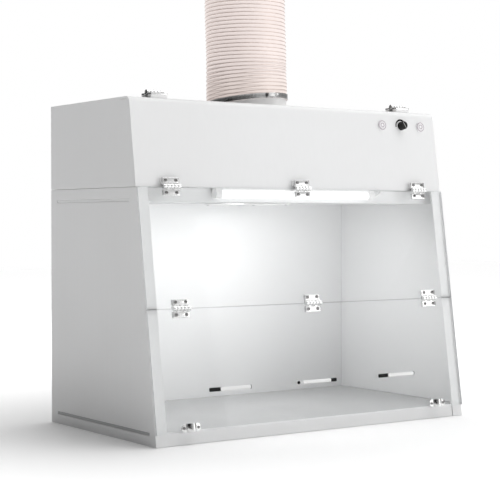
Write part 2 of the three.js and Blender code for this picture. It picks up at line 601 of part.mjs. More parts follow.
const KNOB_RIM = KNOB_R - KNOB_TAPER;
const knobBody = turned([
  [0, -SPINDLE_DEPTH], [SPINDLE_R, -SPINDLE_DEPTH], [SPINDLE_R, KNOB_BASE], [KNOB_R, KNOB_BASE],
  [KNOB_RIM, KNOB_HEIGHT - KNOB_CHAMFER], [KNOB_RIM - KNOB_CHAMFER, KNOB_HEIGHT], [0, KNOB_HEIGHT],
], 32);
const pointer = box(-POINTER.half, POINTER.half, POINTER.start, KNOB_R - POINTER.short,
  KNOB_HEIGHT - POINTER.step, KNOB_HEIGHT + POINTER.step);
const knob = facingOut(join(knobBody, pointer)).rotateY(-THREE.MathUtils.degToRad(KNOB_START_DEG));
piece("speed_knob", knob, black, front, KNOB_X, 0, CONTROL_U);

// ---- butt hinges ----
// A leaf about a pin along x, in a frame where -y is out of the face and "side" is its way along z.
// Odd knuckles belong to the leaf that holds the pin, even ones turn on it. "packing" is the block
// that brings a leaf level with its partner.
const pitch = LEAF_LENGTH / KNUCKLES;
const hingeLeaf = (side, holdsPin, packing = 0) => {
  const top = PIN_HEIGHT - LEAF;
  const half = LEAF_LENGTH / 2;
  const plate = box(-half, half, top, PIN_HEIGHT + packing - GAP, ...mirrored(side, LEAF_START, LEAF_REACH));
  const knuckles = [];
  for (let i = holdsPin ? 0 : 1; i < KNUCKLES; i += 2) {
    const x0 = -half + i * pitch + (i > 0 ? KNUCKLE_GAP / 2 : 0);
    const x1 = -half + (i + 1) * pitch - (i < KNUCKLES - 1 ? KNUCKLE_GAP / 2 : 0);
    knuckles.push(rodX(BARREL_R, x0, x1, 12));
    knuckles.push(box(x0, x1, top, BARREL_R - KNUCKLE_STEP, ...mirrored(side, 0, LEAF_START + 1)));
  }
  const leaf = join(plate, ...knuckles);
  return holdsPin
    ? join(leaf, rodX(PIN_R, -half + PIN_SHORT, half - PIN_SHORT, 6))
    : cut(leaf, rodX(PIN_R + PIN_CLEARANCE, -half, half, 8));
};

const PLACES = [["left", -1], ["centre", 0], ["right", 1]];
PLACES.forEach(([place, sign]) => {
  const at = [front, sign * HINGE_X, -SASH_FACE - PIN_HEIGHT];
  piece("top_hinge_upper_leaf_" + place, hingeLeaf(1, true, SASH_FACE), chrome, ...at, SEAM_U);
  piece("top_hinge_lower_leaf_" + place, hingeLeaf(-1, false), chrome, ...at, SEAM_U);
  piece("fold_hinge_upper_leaf_" + place, hingeLeaf(1, true), chrome, ...at, FOLD_U);
  piece("fold_hinge_lower_leaf_" + place, hingeLeaf(-1, false), chrome, ...at, FOLD_U);
});

// the cover's own hinges stand on blocks on the top: "out" is up, and the moving leaf points forward
onBothSides((side, sign) => {
  const level = new THREE.Group();
  level.position.set(sign * COVER_HINGE_X, COVER_HINGE_Y, HEIGHT + PIN_HEIGHT + COVER_PACKING);
  level.rotation.x = -Math.PI / 2;
  hood.add(level);
  piece("cover_hinge_fixed_leaf_" + side, hingeLeaf(1, true, COVER_PACKING), chrome, level);
  piece("cover_hinge_moving_leaf_" + side, hingeLeaf(-1, false, COVER_PACKING), chrome, level);
});

// ---- sashes ----
const sashPanel = (u0, u1) =>
  box(-HALF + SASH_SIDE, HALF - SASH_SIDE, -SASH_FACE, -GAP, u0 + HINGE_SLIT / 2, u1 - HINGE_SLIT / 2);
piece("upper_sash", sashPanel(FOLD_U, SEAM_U), clear, front);
piece("lower_sash", sashPanel(SASH_BOTTOM_Z / COS, FOLD_U), clear, front);

// ---- grip bars and lift loops on the lower sash ----
const gripBar = () => {
  const half = BAR_LENGTH / 2;
  const rise = BAR_STANDOFF + BAR_THICK;
  const foot = (x0) => box(x0, x0 + BAR_FOOT, -BAR_STANDOFF - 1, 0, -BAR_WIDTH / 2, BAR_WIDTH / 2);
  return join(
    box(-half, half, -rise, -BAR_STANDOFF, -BAR_WIDTH / 2, BAR_WIDTH / 2),
    foot(-half), foot(half - BAR_FOOT),
  );
};
PLACES.forEach(([place, sign]) =>
  piece("grip_bar_" + place, gripBar(), white, front,
    sign * BAR_SPACING + BAR_SHIFT, -SASH_FACE - GAP, BAR_Z / COS));

// a strap with an arch in the middle and a round end each side
const liftLoop = () => {
  const outerR = LOOP_INNER_R + LOOP_STRAP;
  const arch = facingOut(rodZ(outerR, -LOOP_WIDTH / 2, LOOP_WIDTH / 2, 24)).rotateX(Math.PI / 2);
  const tunnel = facingOut(rodZ(LOOP_INNER_R, -LOOP_WIDTH, LOOP_WIDTH, 24)).rotateX(Math.PI / 2);
  const strap = box(-LOOP_LENGTH / 2, LOOP_LENGTH / 2, -LOOP_STRAP, 0, -LOOP_WIDTH / 2, LOOP_WIDTH / 2);
  const below = box(-LOOP_LENGTH, LOOP_LENGTH, 0, LOOP_LENGTH, -LOOP_WIDTH, LOOP_WIDTH);
  const endX = LOOP_LENGTH / 2 - LOOP_WIDTH / 2;
  const reach = 2 * outerR;
  const pill = join(
    box(-endX, endX, -reach, reach, -LOOP_WIDTH / 2, LOOP_WIDTH / 2),
    ...[-endX, endX].map((x) => rod(LOOP_WIDTH / 2, 2 * reach, 24).translate(x, 0, 0)),
  );
  return keep(cut(join(arch, strap), tunnel, below), pill);
};
onBothSides((side, sign) =>
  piece(side + "_lift_loop", liftLoop(), chrome, front, sign * LOOP_X, -SASH_FACE - GAP, LOOP_Z / COS));

export default hood;
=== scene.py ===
"""Looks of a benchtop fume hood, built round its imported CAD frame.

A white sheet cabinet with a hinged bi-fold clear front, a control header with a fan, and a round
exhaust hose. Shapes are worked out in millimetres and stored in metres, in the CAD frame: +Z up,
+X to the right of someone facing the hood, -Y towards them.
"""
import json
import math

import bpy
import bmesh
import numpy as np
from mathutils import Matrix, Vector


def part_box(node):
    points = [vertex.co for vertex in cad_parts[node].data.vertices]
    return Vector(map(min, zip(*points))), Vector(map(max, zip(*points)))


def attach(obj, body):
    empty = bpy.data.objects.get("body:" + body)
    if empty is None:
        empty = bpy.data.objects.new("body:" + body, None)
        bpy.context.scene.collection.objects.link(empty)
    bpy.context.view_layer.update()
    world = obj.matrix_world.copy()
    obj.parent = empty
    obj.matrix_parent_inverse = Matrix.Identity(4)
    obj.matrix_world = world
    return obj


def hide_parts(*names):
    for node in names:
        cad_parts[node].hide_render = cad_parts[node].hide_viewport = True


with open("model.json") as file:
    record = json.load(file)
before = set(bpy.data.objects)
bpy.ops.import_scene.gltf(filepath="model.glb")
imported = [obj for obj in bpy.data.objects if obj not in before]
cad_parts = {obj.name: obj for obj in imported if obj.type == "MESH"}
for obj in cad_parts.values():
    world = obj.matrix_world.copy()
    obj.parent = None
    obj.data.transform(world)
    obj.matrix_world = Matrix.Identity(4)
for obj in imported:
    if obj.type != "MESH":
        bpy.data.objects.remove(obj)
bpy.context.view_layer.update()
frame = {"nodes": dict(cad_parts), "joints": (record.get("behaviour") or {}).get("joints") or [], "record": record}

# ---------------------------------------------------------------- camera
camera_data = bpy.data.cameras.new("camera")
camera_data.lens = 100.53
camera_data.sensor_width = 36.0
camera_data.clip_end = 100.0
camera = bpy.data.objects.new("camera", camera_data)
camera.location = (-1.7837, -2.4939, 0.4337)
camera.rotation_euler = (math.radians(90 - 1.179), 0, math.radians(-35.144))
bpy.context.scene.collection.objects.link(camera)
bpy.context.scene.camera = camera
bpy.context.scene.view_settings.view_transform = "Standard"

# ---------------------------------------------------------------- frame of reference
MM = 0.001
TURN = 2 * np.pi
ACROSS = np.array([1.0, 0.0, 0.0])
RISE = np.array([0.0, 0.0, 1.0])
JOINTS = {joint["name"]: joint for joint in frame["joints"]}
OUT = -np.array(JOINTS["knob_turn"]["axis"], float)  # out of the leaning front
OUT /= np.linalg.norm(OUT)
UP = np.array([0.0, OUT[2], -OUT[1]])  # up the leaning front
FRONT_FOOT = np.array([0.0, -217.0, 0.0])  # bottom edge of the front plane


def centre(name):
    """Middle of a CAD node's box, in millimetres."""
    low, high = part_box(name)
    return (np.array(low) + np.array(high)) / 2 / MM


def span(name):
    """Lowest and highest corner of a CAD node's box, in millimetres."""
    low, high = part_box(name)
    return np.array(low) / MM, np.array(high) / MM


def pin_of(joint):
    """A hinge joint's point, in millimetres."""
    return np.array(JOINTS[joint]["pos_m"]) / MM


def up_front(z):
    """Distance up the leaning front of a point at height z."""
    return z / UP[2]


def stand(shell, origin, right, up, out):
    """Local axes become right, up and out: P = origin + a right + b up + c out."""
    points, faces = shell
    basis = np.stack([np.asarray(v, float) for v in (right, up, out)])
    return points @ basis + np.asarray(origin, float), faces


def on_front(shell, x, u, out=0.0):
    """Local axes become across, up the front and out of it."""
    return stand(shell, FRONT_FOOT + x * ACROSS + u * UP + out * OUT, ACROSS, UP, OUT)


def shifted(shell, x=0.0, y=0.0, z=0.0):
    """The shell moved by a constant."""
    return shell[0] + [x, y, z], shell[1]


# ---------------------------------------------------------------- surfaces
def net(rows, columns, close_rows=False):
    """Quads between neighbours of a grid counted row by row, whose columns close on themselves."""
    row, column = np.meshgrid(np.arange(rows - (not close_rows)), np.arange(columns), indexing="ij")
    below, beside = (row + 1) % rows, (column + 1) % columns
    corners = [row * columns + column, row * columns + beside,
               below * columns + beside, below * columns + column]
    return np.stack(corners, -1).reshape(-1, 4)


def lofted(sections, closed=False):
    """Rings of points joined from the first to the last. An open loft closes each end to the mean of
    its ring; a closed one joins its last ring to its first."""
    sections = np.asarray(sections, float)
    if not closed:
        tips = np.broadcast_to(sections[[0, -1]].mean(1, keepdims=True), (2,) + sections.shape[1:])
        sections = np.concatenate([tips[:1], sections, tips[1:]])
    return sections.reshape(-1, 3), net(len(sections), sections.shape[1], closed)


def polar(radius, angle, height):
    """Points (r cos a, r sin a, h)."""
    parts = np.broadcast_arrays(radius * np.cos(angle), radius * np.sin(angle), height)
    return np.stack(parts, -1)


def turned(outline, segments=48):
    """Each outline point (radius, height) goes round the third axis: (r cos a, r sin a, h). The outline
    closes on itself, or starts and ends on the axis."""
    outline = np.asarray(outline, float)
    angle = np.arange(segments) * TURN / segments
    points = polar(outline[:, :1], angle, outline[:, 1:])
    on_axis = abs(outline[0, 0]) + abs(outline[-1, 0]) < 1e-9
    return points.reshape(-1, 3), net(len(outline), segments, not on_axis)


def softened(outline, size, steps=4, closed=True):
    """Corner P becomes (1-t)^2 A + 2t(1-t) P + t^2 B, with A and B on its two edges, size away or half
    the edge. An open outline keeps its two ends."""
    corner = np.asarray(outline, float)
    back, ahead = np.roll(corner, 1, 0) - corner, np.roll(corner, -1, 0) - corner
    reach = [np.minimum(1, size * 2 / np.maximum(np.linalg.norm(v, axis=1, keepdims=True), 1e-9)) / 2
             for v in (back, ahead)]
    a, b = corner + back * reach[0], corner + ahead * reach[1]
    t = np.linspace(0, 1, steps + 1)[:, None, None]
    curve = (1 - t) ** 2 * a + 2 * t * (1 - t) * corner + t ** 2 * b
    curve = curve.transpose(1, 0, 2)
    if closed:
        return curve.reshape(-1, corner.shape[1])
    return np.concatenate([corner[:1], curve[1:-1].reshape(-1, corner.shape[1]), corner[-1:]])


def slab(outline, low, high, edge=0.5, steps=3):
    """A plane outline carried up the third axis from low to high, drawn in along its normals by
    edge (1 - cos a) as a quarter turn a rounds each rim."""
    outline = np.asarray(outline, float)
    along = np.roll(outline, -1, 0) - np.roll(outline, 1, 0)
    normal = np.stack([along[:, 1], -along[:, 0]], -1)
    normal /= np.maximum(np.linalg.norm(normal, axis=1, keepdims=True), 1e-9)
    area = np.sum(outline[:, 0] * np.roll(outline[:, 1], -1) - outline[:, 1] * np.roll(outline[:, 0], -1))
    normal *= np.sign(area)
    quarter = np.linspace(np.pi / 2, 0, steps + 1)
    inset = edge * (1 - np.cos(quarter))
    lift = low + edge * (1 - np.sin(quarter))
    inset = np.concatenate([inset, inset[::-1]])[:, None, None]
    height = np.concatenate([lift, low + high - lift[::-1]])
    ring = outline - normal * inset
    level = np.broadcast_to(height[:, None, None], ring.shape[:2] + (1,))
    return lofted(np.concatenate([ring, level], -1))


def rectangle(x0, x1, y0, y1, corner=0.0, steps=4):
    """A rectangle's outline, its corners softened."""
    outline = [[x0, y0], [x1, y0], [x1, y1], [x0, y1]]
    return softened(outline, corner, steps) if corner else np.array(outline, float)


def block(x0, x1, y0, y1, z0, z1, corner=0.8, edge=0.5):
    """A slab on a softened rectangle."""
    return slab(rectangle(x0, x1, y0, y1, corner), z0, z1, edge)


def drum(radius, low, high, soft, steps, segments):
    """A turned cylinder, its rims softened."""
    outline = [[0, low], [radius, low], [radius, high], [0, high]]
    return turned(softened(outline, soft, steps, False), segments)


def hoop(inner, outer, low, high, soft, steps, segments):
    """A turned ring of rectangular section, its rims softened."""
    return turned(softened(rectangle(inner, outer, low, high), soft, steps), segments)


def tube(path, radius, level, sides=12, closed=False):
    """The ring P + r (cos a n1 + sin a n2) along a path, where n1 is square to the path and to the
    direction "level", and n2 to the path and n1. The radius may change along it."""
    path = np.asarray(path, float)
    if closed:
        along = np.roll(path, -1, 0) - np.roll(path, 1, 0)
    else:
        along = np.gradient(path, axis=0)
    along /= np.linalg.norm(along, axis=1, keepdims=True)
    first = np.cross(along, np.asarray(level, float))
    first /= np.linalg.norm(first, axis=1, keepdims=True)
    second = np.cross(first, along)
    angle = (np.arange(sides) * TURN / sides)[None, :, None]
    radius = np.broadcast_to(np.asarray(radius, float), (len(path),))[:, None, None]
    rings = path[:, None] + radius * (np.cos(angle) * first[:, None] + np.sin(angle) * second[:, None])
    return lofted(rings, closed)


def smooth_path(points, count):
    """A cubic through the points: between Q and R, with their neighbours P and S,
    0.5 (2Q + (R-P) t + (2P-5Q+4R-S) t^2 + (3Q-P-3R+S) t^3)."""
    points = np.asarray(points, float)
    padded = np.concatenate([2 * points[:1] - points[1:2], points, 2 * points[-1:] - points[-2:-1]])
    where = np.linspace(0, len(points) - 1, count)
    first = np.minimum(where.astype(int), len(points) - 2)
    t = (where - first)[:, None]
    p, q, r, s = (padded[first + k] for k in range(4))
    return 0.5 * (2 * q + (r - p) * t + (2 * p - 5 * q + 4 * r - s) * t ** 2
                  + (3 * q - p - 3 * r + s) * t ** 3)


def facing_outward(shell):
    """A shell's faces turned round if its signed volume, a sum of triple products, is negative."""
    points, faces = shell
    a, b, c, d = (points[faces[:, k]] - points.mean(0) for k in range(4))
    volume = np.einsum("ij,ij->", np.cross(a, b), c) + np.einsum("ij,ij->", np.cross(a, c), d)
    return (points, faces[:, ::-1]) if volume < 0 else shell


def read(items, key, kind, width=1):
    """One property of a mesh's vertices, loops or faces, as an array; "width" numbers for each."""
    values = np.empty(len(items) * width, kind)
    items.foreach_get(key, values)
    return values


def mesh_of(name, shells, sharp=35.0):
    """One mesh in metres from closed shells in millimetres, poles and seams merged, smooth except
    across edges sharper than "sharp" degrees."""
    shells = [facing_outward(shell) for shell in shells]
    starts = np.cumsum([0] + [len(points) for points, _ in shells[:-1]])
    points = np.concatenate([points for points, _ in shells]) * MM
    faces = np.concatenate([faces + start for (_, faces), start in zip(shells, starts)])
    mesh = bpy.data.meshes.new(name)
    mesh.vertices.add(len(points))
    mesh.vertices.foreach_set("co", points.astype(np.float32).ravel())
    mesh.loops.add(faces.size)
    mesh.loops.foreach_set("vertex_index", faces.astype(np.int32).ravel())
    mesh.polygons.add(len(faces))
    mesh.polygons.foreach_set("loop_start", np.arange(0, faces.size, 4, dtype=np.int32))
    mesh.update(calc_edges=True)
    merged = bmesh.new()
    merged.from_mesh(mesh)
    bmesh.ops.remove_doubles(merged, verts=merged.verts, dist=1e-7)
    bmesh.ops.dissolve_degenerate(merged, edges=merged.edges, dist=1e-8)
    merged.to_mesh(mesh)
    merged.free()
    mesh.polygons.foreach_set("use_smooth", np.ones(len(mesh.polygons), bool))
    mesh.set_sharp_from_angle(angle=math.radians(sharp))
    return mesh


def finished(name, mesh, finish, body, node=None):
    """An object with a finish, riding on a body, in place of a CAD node."""
    made = bpy.data.objects.new(name, mesh)
    bpy.context.scene.collection.objects.link(made)
    mesh.materials.append(FINISHES[finish])
    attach(made, body)
    if node:
        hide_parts(node)
    return made


def piece(name, shells, finish, body, node=None, sharp=35.0):
    """A piece of one or more closed shells."""
    shells = shells if isinstance(shells, list) else [shells]
    return finished(name, mesh_of(name, shells, sharp), finish, body, node)


# ---------------------------------------------------------------- node tools
def feed(tree, socket, value):
    """A socket takes a value or another node's output."""
    if isinstance(value, bpy.types.NodeSocket):
        tree.links.new(value, socket)
    else:
        socket.default_value = value


def add(tree, kind, settings=None, **inputs):
    """A node with its settings and inputs."""
    made = tree.nodes.new(kind)
    for key, value in (settings or {}).items():
        setattr(made, key, value)
    for key, value in inputs.items():
        feed(tree, made.inputs[key.replace("_", " ")], value)
    return made


def sum_of(tree, operation, *values):
    """A Math node's output."""
    made = add(tree, "ShaderNodeMath", {"operation": operation})
    for socket, value in zip(made.inputs, values):
        feed(tree, socket, value)
    return made.outputs[0]


def parted(tree, vector):
    """The x, y and z of a vector."""
    return add(tree, "ShaderNodeSeparateXYZ", None, Vector=vector).outputs


def mixed(tree, share, first, second):
    """A colour between two others."""
    made = add(tree, "ShaderNodeMix", {"data_type": "RGBA"})
    for key, value in (("Factor_Float", share), ("A_Color", first), ("B_Color", second)):
        feed(tree, next(s for s in made.inputs if s.identifier == key), value)
    return next(s for s in made.outputs if s.identifier == "Result_Color")


def between(tree, value, low, high, to_low, to_high):
    """A value's range low..high becomes to_low..to_high, clamped."""
    made = add(tree, "ShaderNodeMapRange", None, Value=value, From_Min=low, From_Max=high,
               To_Min=to_low, To_Max=to_high)
    return made.outputs["Result"]


COLOUR, FLOAT, VECTOR = "NodeSocketColor", "NodeSocketFloat", "NodeSocketVector"


def new_group(name, inputs, outputs):
    """An empty shader group with named sockets: its tree, what it is given and where it puts things.
    An input is a kind of socket, or a number to start from."""
    tree = bpy.data.node_groups.new(name, "ShaderNodeTree")
    for key, value in inputs.items():
        number = isinstance(value, float)
        kind = FLOAT if number else value
        socket = tree.interface.new_socket(key, in_out="INPUT", socket_type=kind)
        if number:
            socket.default_value = value
    for key, kind in outputs.items():
        tree.interface.new_socket(key, in_out="OUTPUT", socket_type=kind)
    return tree, tree.nodes.new("NodeGroupInput").outputs, tree.nodes.new("NodeGroupOutput").inputs


def noise(tree, vector, scale, detail=2.0, roughness=0.5):
    """A noise texture's value."""
    return add(tree, "ShaderNodeTexNoise", None, Vector=vector, Scale=scale, Detail=detail,
               Roughness=roughness).outputs["Fac"]


def make_mottle():
    """Two colours, mixed by a soft noise pushed to its middle."""
    tree, given, put = new_group(
        "mottle", {"Vector": VECTOR, "Scale": 6.0, "Light": COLOUR, "Dark": COLOUR},
        {"Color": COLOUR, "Mask": FLOAT})
    mask = between(tree, noise(tree, given["Vector"], given["Scale"], 3.0), 0.35, 0.65, 0.0, 1.0)
    feed(tree, put["Color"], mixed(tree, mask, given["Light"], given["Dark"]))
    feed(tree, put["Mask"], mask)
    return tree


def make_skin():
    """Roughness that drifts between two values, and a fine grain's height."""
    tree, given, put = new_group(
        "skin", {"Vector": VECTOR, "Grain": 900.0, "Drift": 9.0, "Smooth": 0.3, "Rough": 0.5},
        {"Roughness": FLOAT, "Height": FLOAT})
    drift = noise(tree, given["Vector"], given["Drift"], 4.0, 0.6)
    feed(tree, put["Roughness"], between(tree, drift, 0.3, 0.7, given["Smooth"], given["Rough"]))
    feed(tree, put["Height"], noise(tree, given["Vector"], given["Grain"], 1.0))
    return tree


def make_drawn_lines():
    """Fine lines along one way of a stretched vector: their height, and a mask for tone."""
    tree, given, put = new_group("drawn_lines", {"Vector": VECTOR, "Stretch": VECTOR, "Scale": 40.0},
                                 {"Height": FLOAT, "Mask": FLOAT})
    stretched = add(tree, "ShaderNodeVectorMath", {"operation": "MULTIPLY"})
    for socket, key in zip(stretched.inputs, ("Vector", "Stretch")):
        feed(tree, socket, given[key])
    lines = noise(tree, stretched.outputs[0], given["Scale"], 4.0, 0.7)
    feed(tree, put["Height"], lines)
    feed(tree, put["Mask"], between(tree, lines, 0.4, 0.6, 0.0, 1.0))
    return tree


def make_settled_dust():
    """A mask of soft specks, kept to faces whose normal points up."""
    tree, given, put = new_group("settled_dust", {"Vector": VECTOR, "Normal": VECTOR, "Scale": 60.0},
                                 {"Mask": FLOAT})
    upward = between(tree, parted(tree, given["Normal"])["Z"], 0.6, 0.95, 0.0, 1.0)
    specks = noise(tree, given["Vector"], given["Scale"], 6.0, 0.7)
    feed(tree, put["Mask"], sum_of(tree, "MULTIPLY", upward, between(tree, specks, 0.45, 0.75, 0.0, 1.0)))
    return tree


MOTTLE, SKIN, DRAWN, DUST = make_mottle(), make_skin(), make_drawn_lines(), make_settled_dust()


def placed(tree, group, **inputs):
    """A group node in a material."""
    return add(tree, "ShaderNodeGroup", {"node_tree": group}, **inputs)


def grey(value, warm=0.0):
    """A near-neutral colour; "warm" lifts red and lowers blue by that share."""
    return (value * (1 + warm), value, value * (1 - warm), 1.0)


def started(name):
    """A new material's tree, its Principled shader, its output and its object coordinates."""
    material = bpy.data.materials.new(name)
    material.use_nodes = True
    tree = material.node_tree
    shader = next(n for n in tree.nodes if n.type == "BSDF_PRINCIPLED")
    output = next(n for n in tree.nodes if n.type == "OUTPUT_MATERIAL")
    place = tree.nodes.new("ShaderNodeTexCoord").outputs["Object"]
    return material, tree, shader, output, place


def bumped(tree, shader, height, strength, distance):
    """A height felt through the shader's normal."""
    bump = add(tree, "ShaderNodeBump", None, Height=height, Strength=strength, Distance=distance)
    feed(tree, shader.inputs["Normal"], bump.outputs["Normal"])


def dusted(tree, place, colour, dust_colour, share, scale=60.0):
    """A colour with dust over its upward faces."""
    normal = tree.nodes.new("ShaderNodeNewGeometry").outputs["Normal"]
    mask = placed(tree, DUST, Vector=place, Normal=normal, Scale=scale).outputs["Mask"]
    return mixed(tree, sum_of(tree, "MULTIPLY", mask, share), colour, dust_colour)


# ---------------------------------------------------------------- finishes
def mottled(tree, place, scale, light, dark):
    """Two colours in soft patches."""
    return placed(tree, MOTTLE, Vector=place, Scale=scale, Light=light, Dark=dark).outputs["Color"]


def skinned(tree, shader, place, colour, grain, drift, smooth, rough):
    """Colour and drifting roughness go into the shader; the skin's grain comes back as a height."""
    skin = placed(tree, SKIN, Vector=place, Grain=grain, Drift=drift, Smooth=smooth, Rough=rough)
    feed(tree, shader.inputs["Base Color"], colour)
    feed(tree, shader.inputs["Roughness"], skin.outputs["Roughness"])
    return skin.outputs["Height"]


def plastic(name, light, dark, smooth, rough, grain=900.0, strength=0.06, scale=6.0, dust=0.0,
            distance=0.0002, coat=0.0, specular=0.5):
    """Moulded or sheet plastic: a faint mottle, a roughness that drifts and a fine grain."""
    material, tree, shader, _, place = started(name)
    colour = mottled(tree, place, scale, light, dark)
    if dust:
        colour = dusted(tree, place, colour, grey(0.62, 0.03), dust)
    height = skinned(tree, shader, place, colour, grain, scale * 1.7, smooth, rough)
    bumped(tree, shader, height, strength, distance)
    shader.inputs["Coat Weight"].default_value = coat
    shader.inputs["Specular IOR Level"].default_value = specular
    return material


def metal(name, light, dark, smooth, rough, line_scale, strength, stretch=(1.0, 1.0, 1.0)):
    """Metal with drawn lines, along one way where they are stretched."""
    material, tree, shader, _, place = started(name)
    lines = placed(tree, DRAWN, Vector=place, Stretch=stretch, Scale=line_scale)
    colour = mixed(tree, lines.outputs["Mask"], light, dark)
    skinned(tree, shader, place, colour, 500.0, 30.0, smooth, rough)
    bumped(tree, shader, lines.outputs["Height"], strength, 0.0001)
    shader.inputs["Metallic"].default_value = 1.0
    return material


def make_white_sheet():
    """Extruded sheet: nearly plain white, with very faint lines along its height and a satin skin."""
    material, tree, shader, _, place = started("white_sheet")
    colour = mottled(tree, place, 2.5, grey(0.87, -0.004), grey(0.845, -0.002))
    lines = placed(tree, DRAWN, Vector=place, Stretch=(60.0, 60.0, 0.4), Scale=3.0)
    faint = sum_of(tree, "MULTIPLY", lines.outputs["Mask"], 0.12)
    colour = mixed(tree, faint, colour, grey(0.80, -0.004))
    colour = dusted(tree, place, colour, grey(0.70, 0.01), 0.15, 35.0)
    height = skinned(tree, shader, place, colour, 700.0, 5.0, 0.34, 0.48)
    bumped(tree, shader, height, 0.05, 0.00003)
    return material


def make_clear_acrylic():
    """Clear polished sheet: it lets everything through but what its two faces mirror, a share that grows
    with the fifth power of the slant, with smears that dull the mirroring."""
    material, tree, shader, output, place = started("clear_acrylic")
    tint = mottled(tree, place, 3.0, (0.996, 0.998, 0.998, 1), (0.990, 0.993, 0.993, 1))
    skinned(tree, shader, place, tint, 300.0, 7.0, 0.02, 0.08)
    shader.inputs["Metallic"].default_value = 1.0
    clear = add(tree, "ShaderNodeBsdfTransparent", None, Color=tint)
    slant = tree.nodes.new("ShaderNodeLayerWeight").outputs["Facing"]
    grazing = sum_of(tree, "POWER", slant, 5.0)
    mirrored = between(tree, grazing, 0.0, 1.0, 0.016, 0.92)
    shaders = tree.nodes.new("ShaderNodeMixShader")
    for socket, value in zip(shaders.inputs, (mirrored, clear.outputs[0], shader.outputs[0])):
        feed(tree, socket, value)
    feed(tree, output.inputs["Surface"], shaders.outputs[0])
    return material


def make_lamp_diffuser():
    """Frosted tube, lit from inside: its glow falls a little towards its two ends."""
    material, tree, shader, _, place = started("lamp_diffuser")
    glow = between(tree, sum_of(tree, "ABSOLUTE", parted(tree, place)["X"]), 0.14, 0.196, 1.0, 0.72)
    colour = mixed(tree, glow, (0.8, 0.82, 0.86, 1), (1.0, 1.0, 1.0, 1))
    feed(tree, shader.inputs["Emission Color"], colour)
    shader.inputs["Emission Strength"].default_value = 0.55
    base = mottled(tree, place, 20.0, grey(0.92), grey(0.9))
    skinned(tree, shader, place, base, 900.0, 20.0, 0.25, 0.4)
    return material


def make_hose_film():
    """Thin pinkish film drawn over a wire: browner near the wires, with fine creases round it. It also glows, less
    at the wires: painted light that keeps its shaded side bright.
    """
    material, tree, shader, _, place = started("hose_film")
    axis_y = centre("duct_collar")[1] * MM
    around = parted(tree, place)
    offset = sum_of(tree, "SUBTRACT", around["Y"], axis_y)
    turn = sum_of(tree, "DIVIDE", sum_of(tree, "ARCTAN2", offset, around["X"]), TURN)
    pitch = sum_of(tree, "DIVIDE", around["Z"], HOSE_PITCH * MM)
    phase = sum_of(tree, "FRACT", sum_of(tree, "SUBTRACT", pitch, turn))
    from_crown = sum_of(tree, "ABSOLUTE", sum_of(tree, "SUBTRACT", phase, 0.5))
    wire = between(tree, from_crown, 0.3, 0.5, 0.0, 1.0)
    film = mottled(tree, place, 14.0, (0.54, 0.50, 0.485, 1), (0.50, 0.455, 0.44, 1))
    film = mixed(tree, between(tree, around["Z"], 0.70, 0.76, 1.0, 0.0), film, (0.52, 0.465, 0.42, 1))
    colour = mixed(tree, sum_of(tree, "MULTIPLY", wire, 0.35), film, (0.40, 0.33, 0.305, 1))
    feed(tree, shader.inputs["Alpha"], between(tree, wire, 0.0, 0.8, 0.86, 0.96))
    # painted light: the film glows evenly, less at the wires, so its shaded side stays bright; it is no lamp
    glow = mixed(tree, wire, (0.46, 0.405, 0.388, 1), (0.24, 0.20, 0.188, 1))
    feed(tree, shader.inputs["Emission Color"], glow)
    shader.inputs["Emission Strength"].default_value = 1.0
    creases = placed(tree, DRAWN, Vector=place, Stretch=(1.0, 1.0, 7.0), Scale=55.0)
    skinned(tree, shader, place, colour, 420.0, 25.0, 0.24, 0.42)
    bumped(tree, shader, creases.outputs["Height"], 0.2, 0.0008)
    return material


def make_band_steel():
    """Stainless band: brushed round its length. Its worm slots are dents in the bump, painted near-black as the
    shade inside the holes.
    """
    material, tree, shader, _, place = started("band_steel")
    uv = add(tree, "ShaderNodeUVMap", {"uv_map": "band"})
    parts = parted(tree, uv.outputs["UV"])
    along = sum_of(tree, "FRACT", sum_of(tree, "DIVIDE", parts["X"], SLOT_PITCH))
    across = sum_of(tree, "ABSOLUTE", sum_of(tree, "SUBTRACT", parts["Y"], 0.5))
    # painted shade: the slots are coloured near-black for the shade inside the holes; the same mask dents the
    # surface
    slot_and_shade = sum_of(tree, "MULTIPLY", between(tree, along, 0.68, 0.74, 0.0, 0.55),
                  between(tree, across, 0.2, 0.24, 1.0, 0.0))
    lines = placed(tree, DRAWN, Vector=place, Stretch=(0.6, 0.6, 40.0), Scale=60.0)
    steel = mixed(tree, lines.outputs["Mask"], grey(0.60, 0.005), grey(0.47, 0.005))
    skinned(tree, shader, place, mixed(tree, slot_and_shade, steel, grey(0.05)), 500.0, 40.0, 0.2, 0.36)
    height = sum_of(tree, "SUBTRACT", sum_of(tree, "MULTIPLY", lines.outputs["Height"], 0.1), slot_and_shade)
    bumped(tree, shader, height, 0.6, 0.0004)
    shader.inputs["Metallic"].default_value = 1.0
    return material


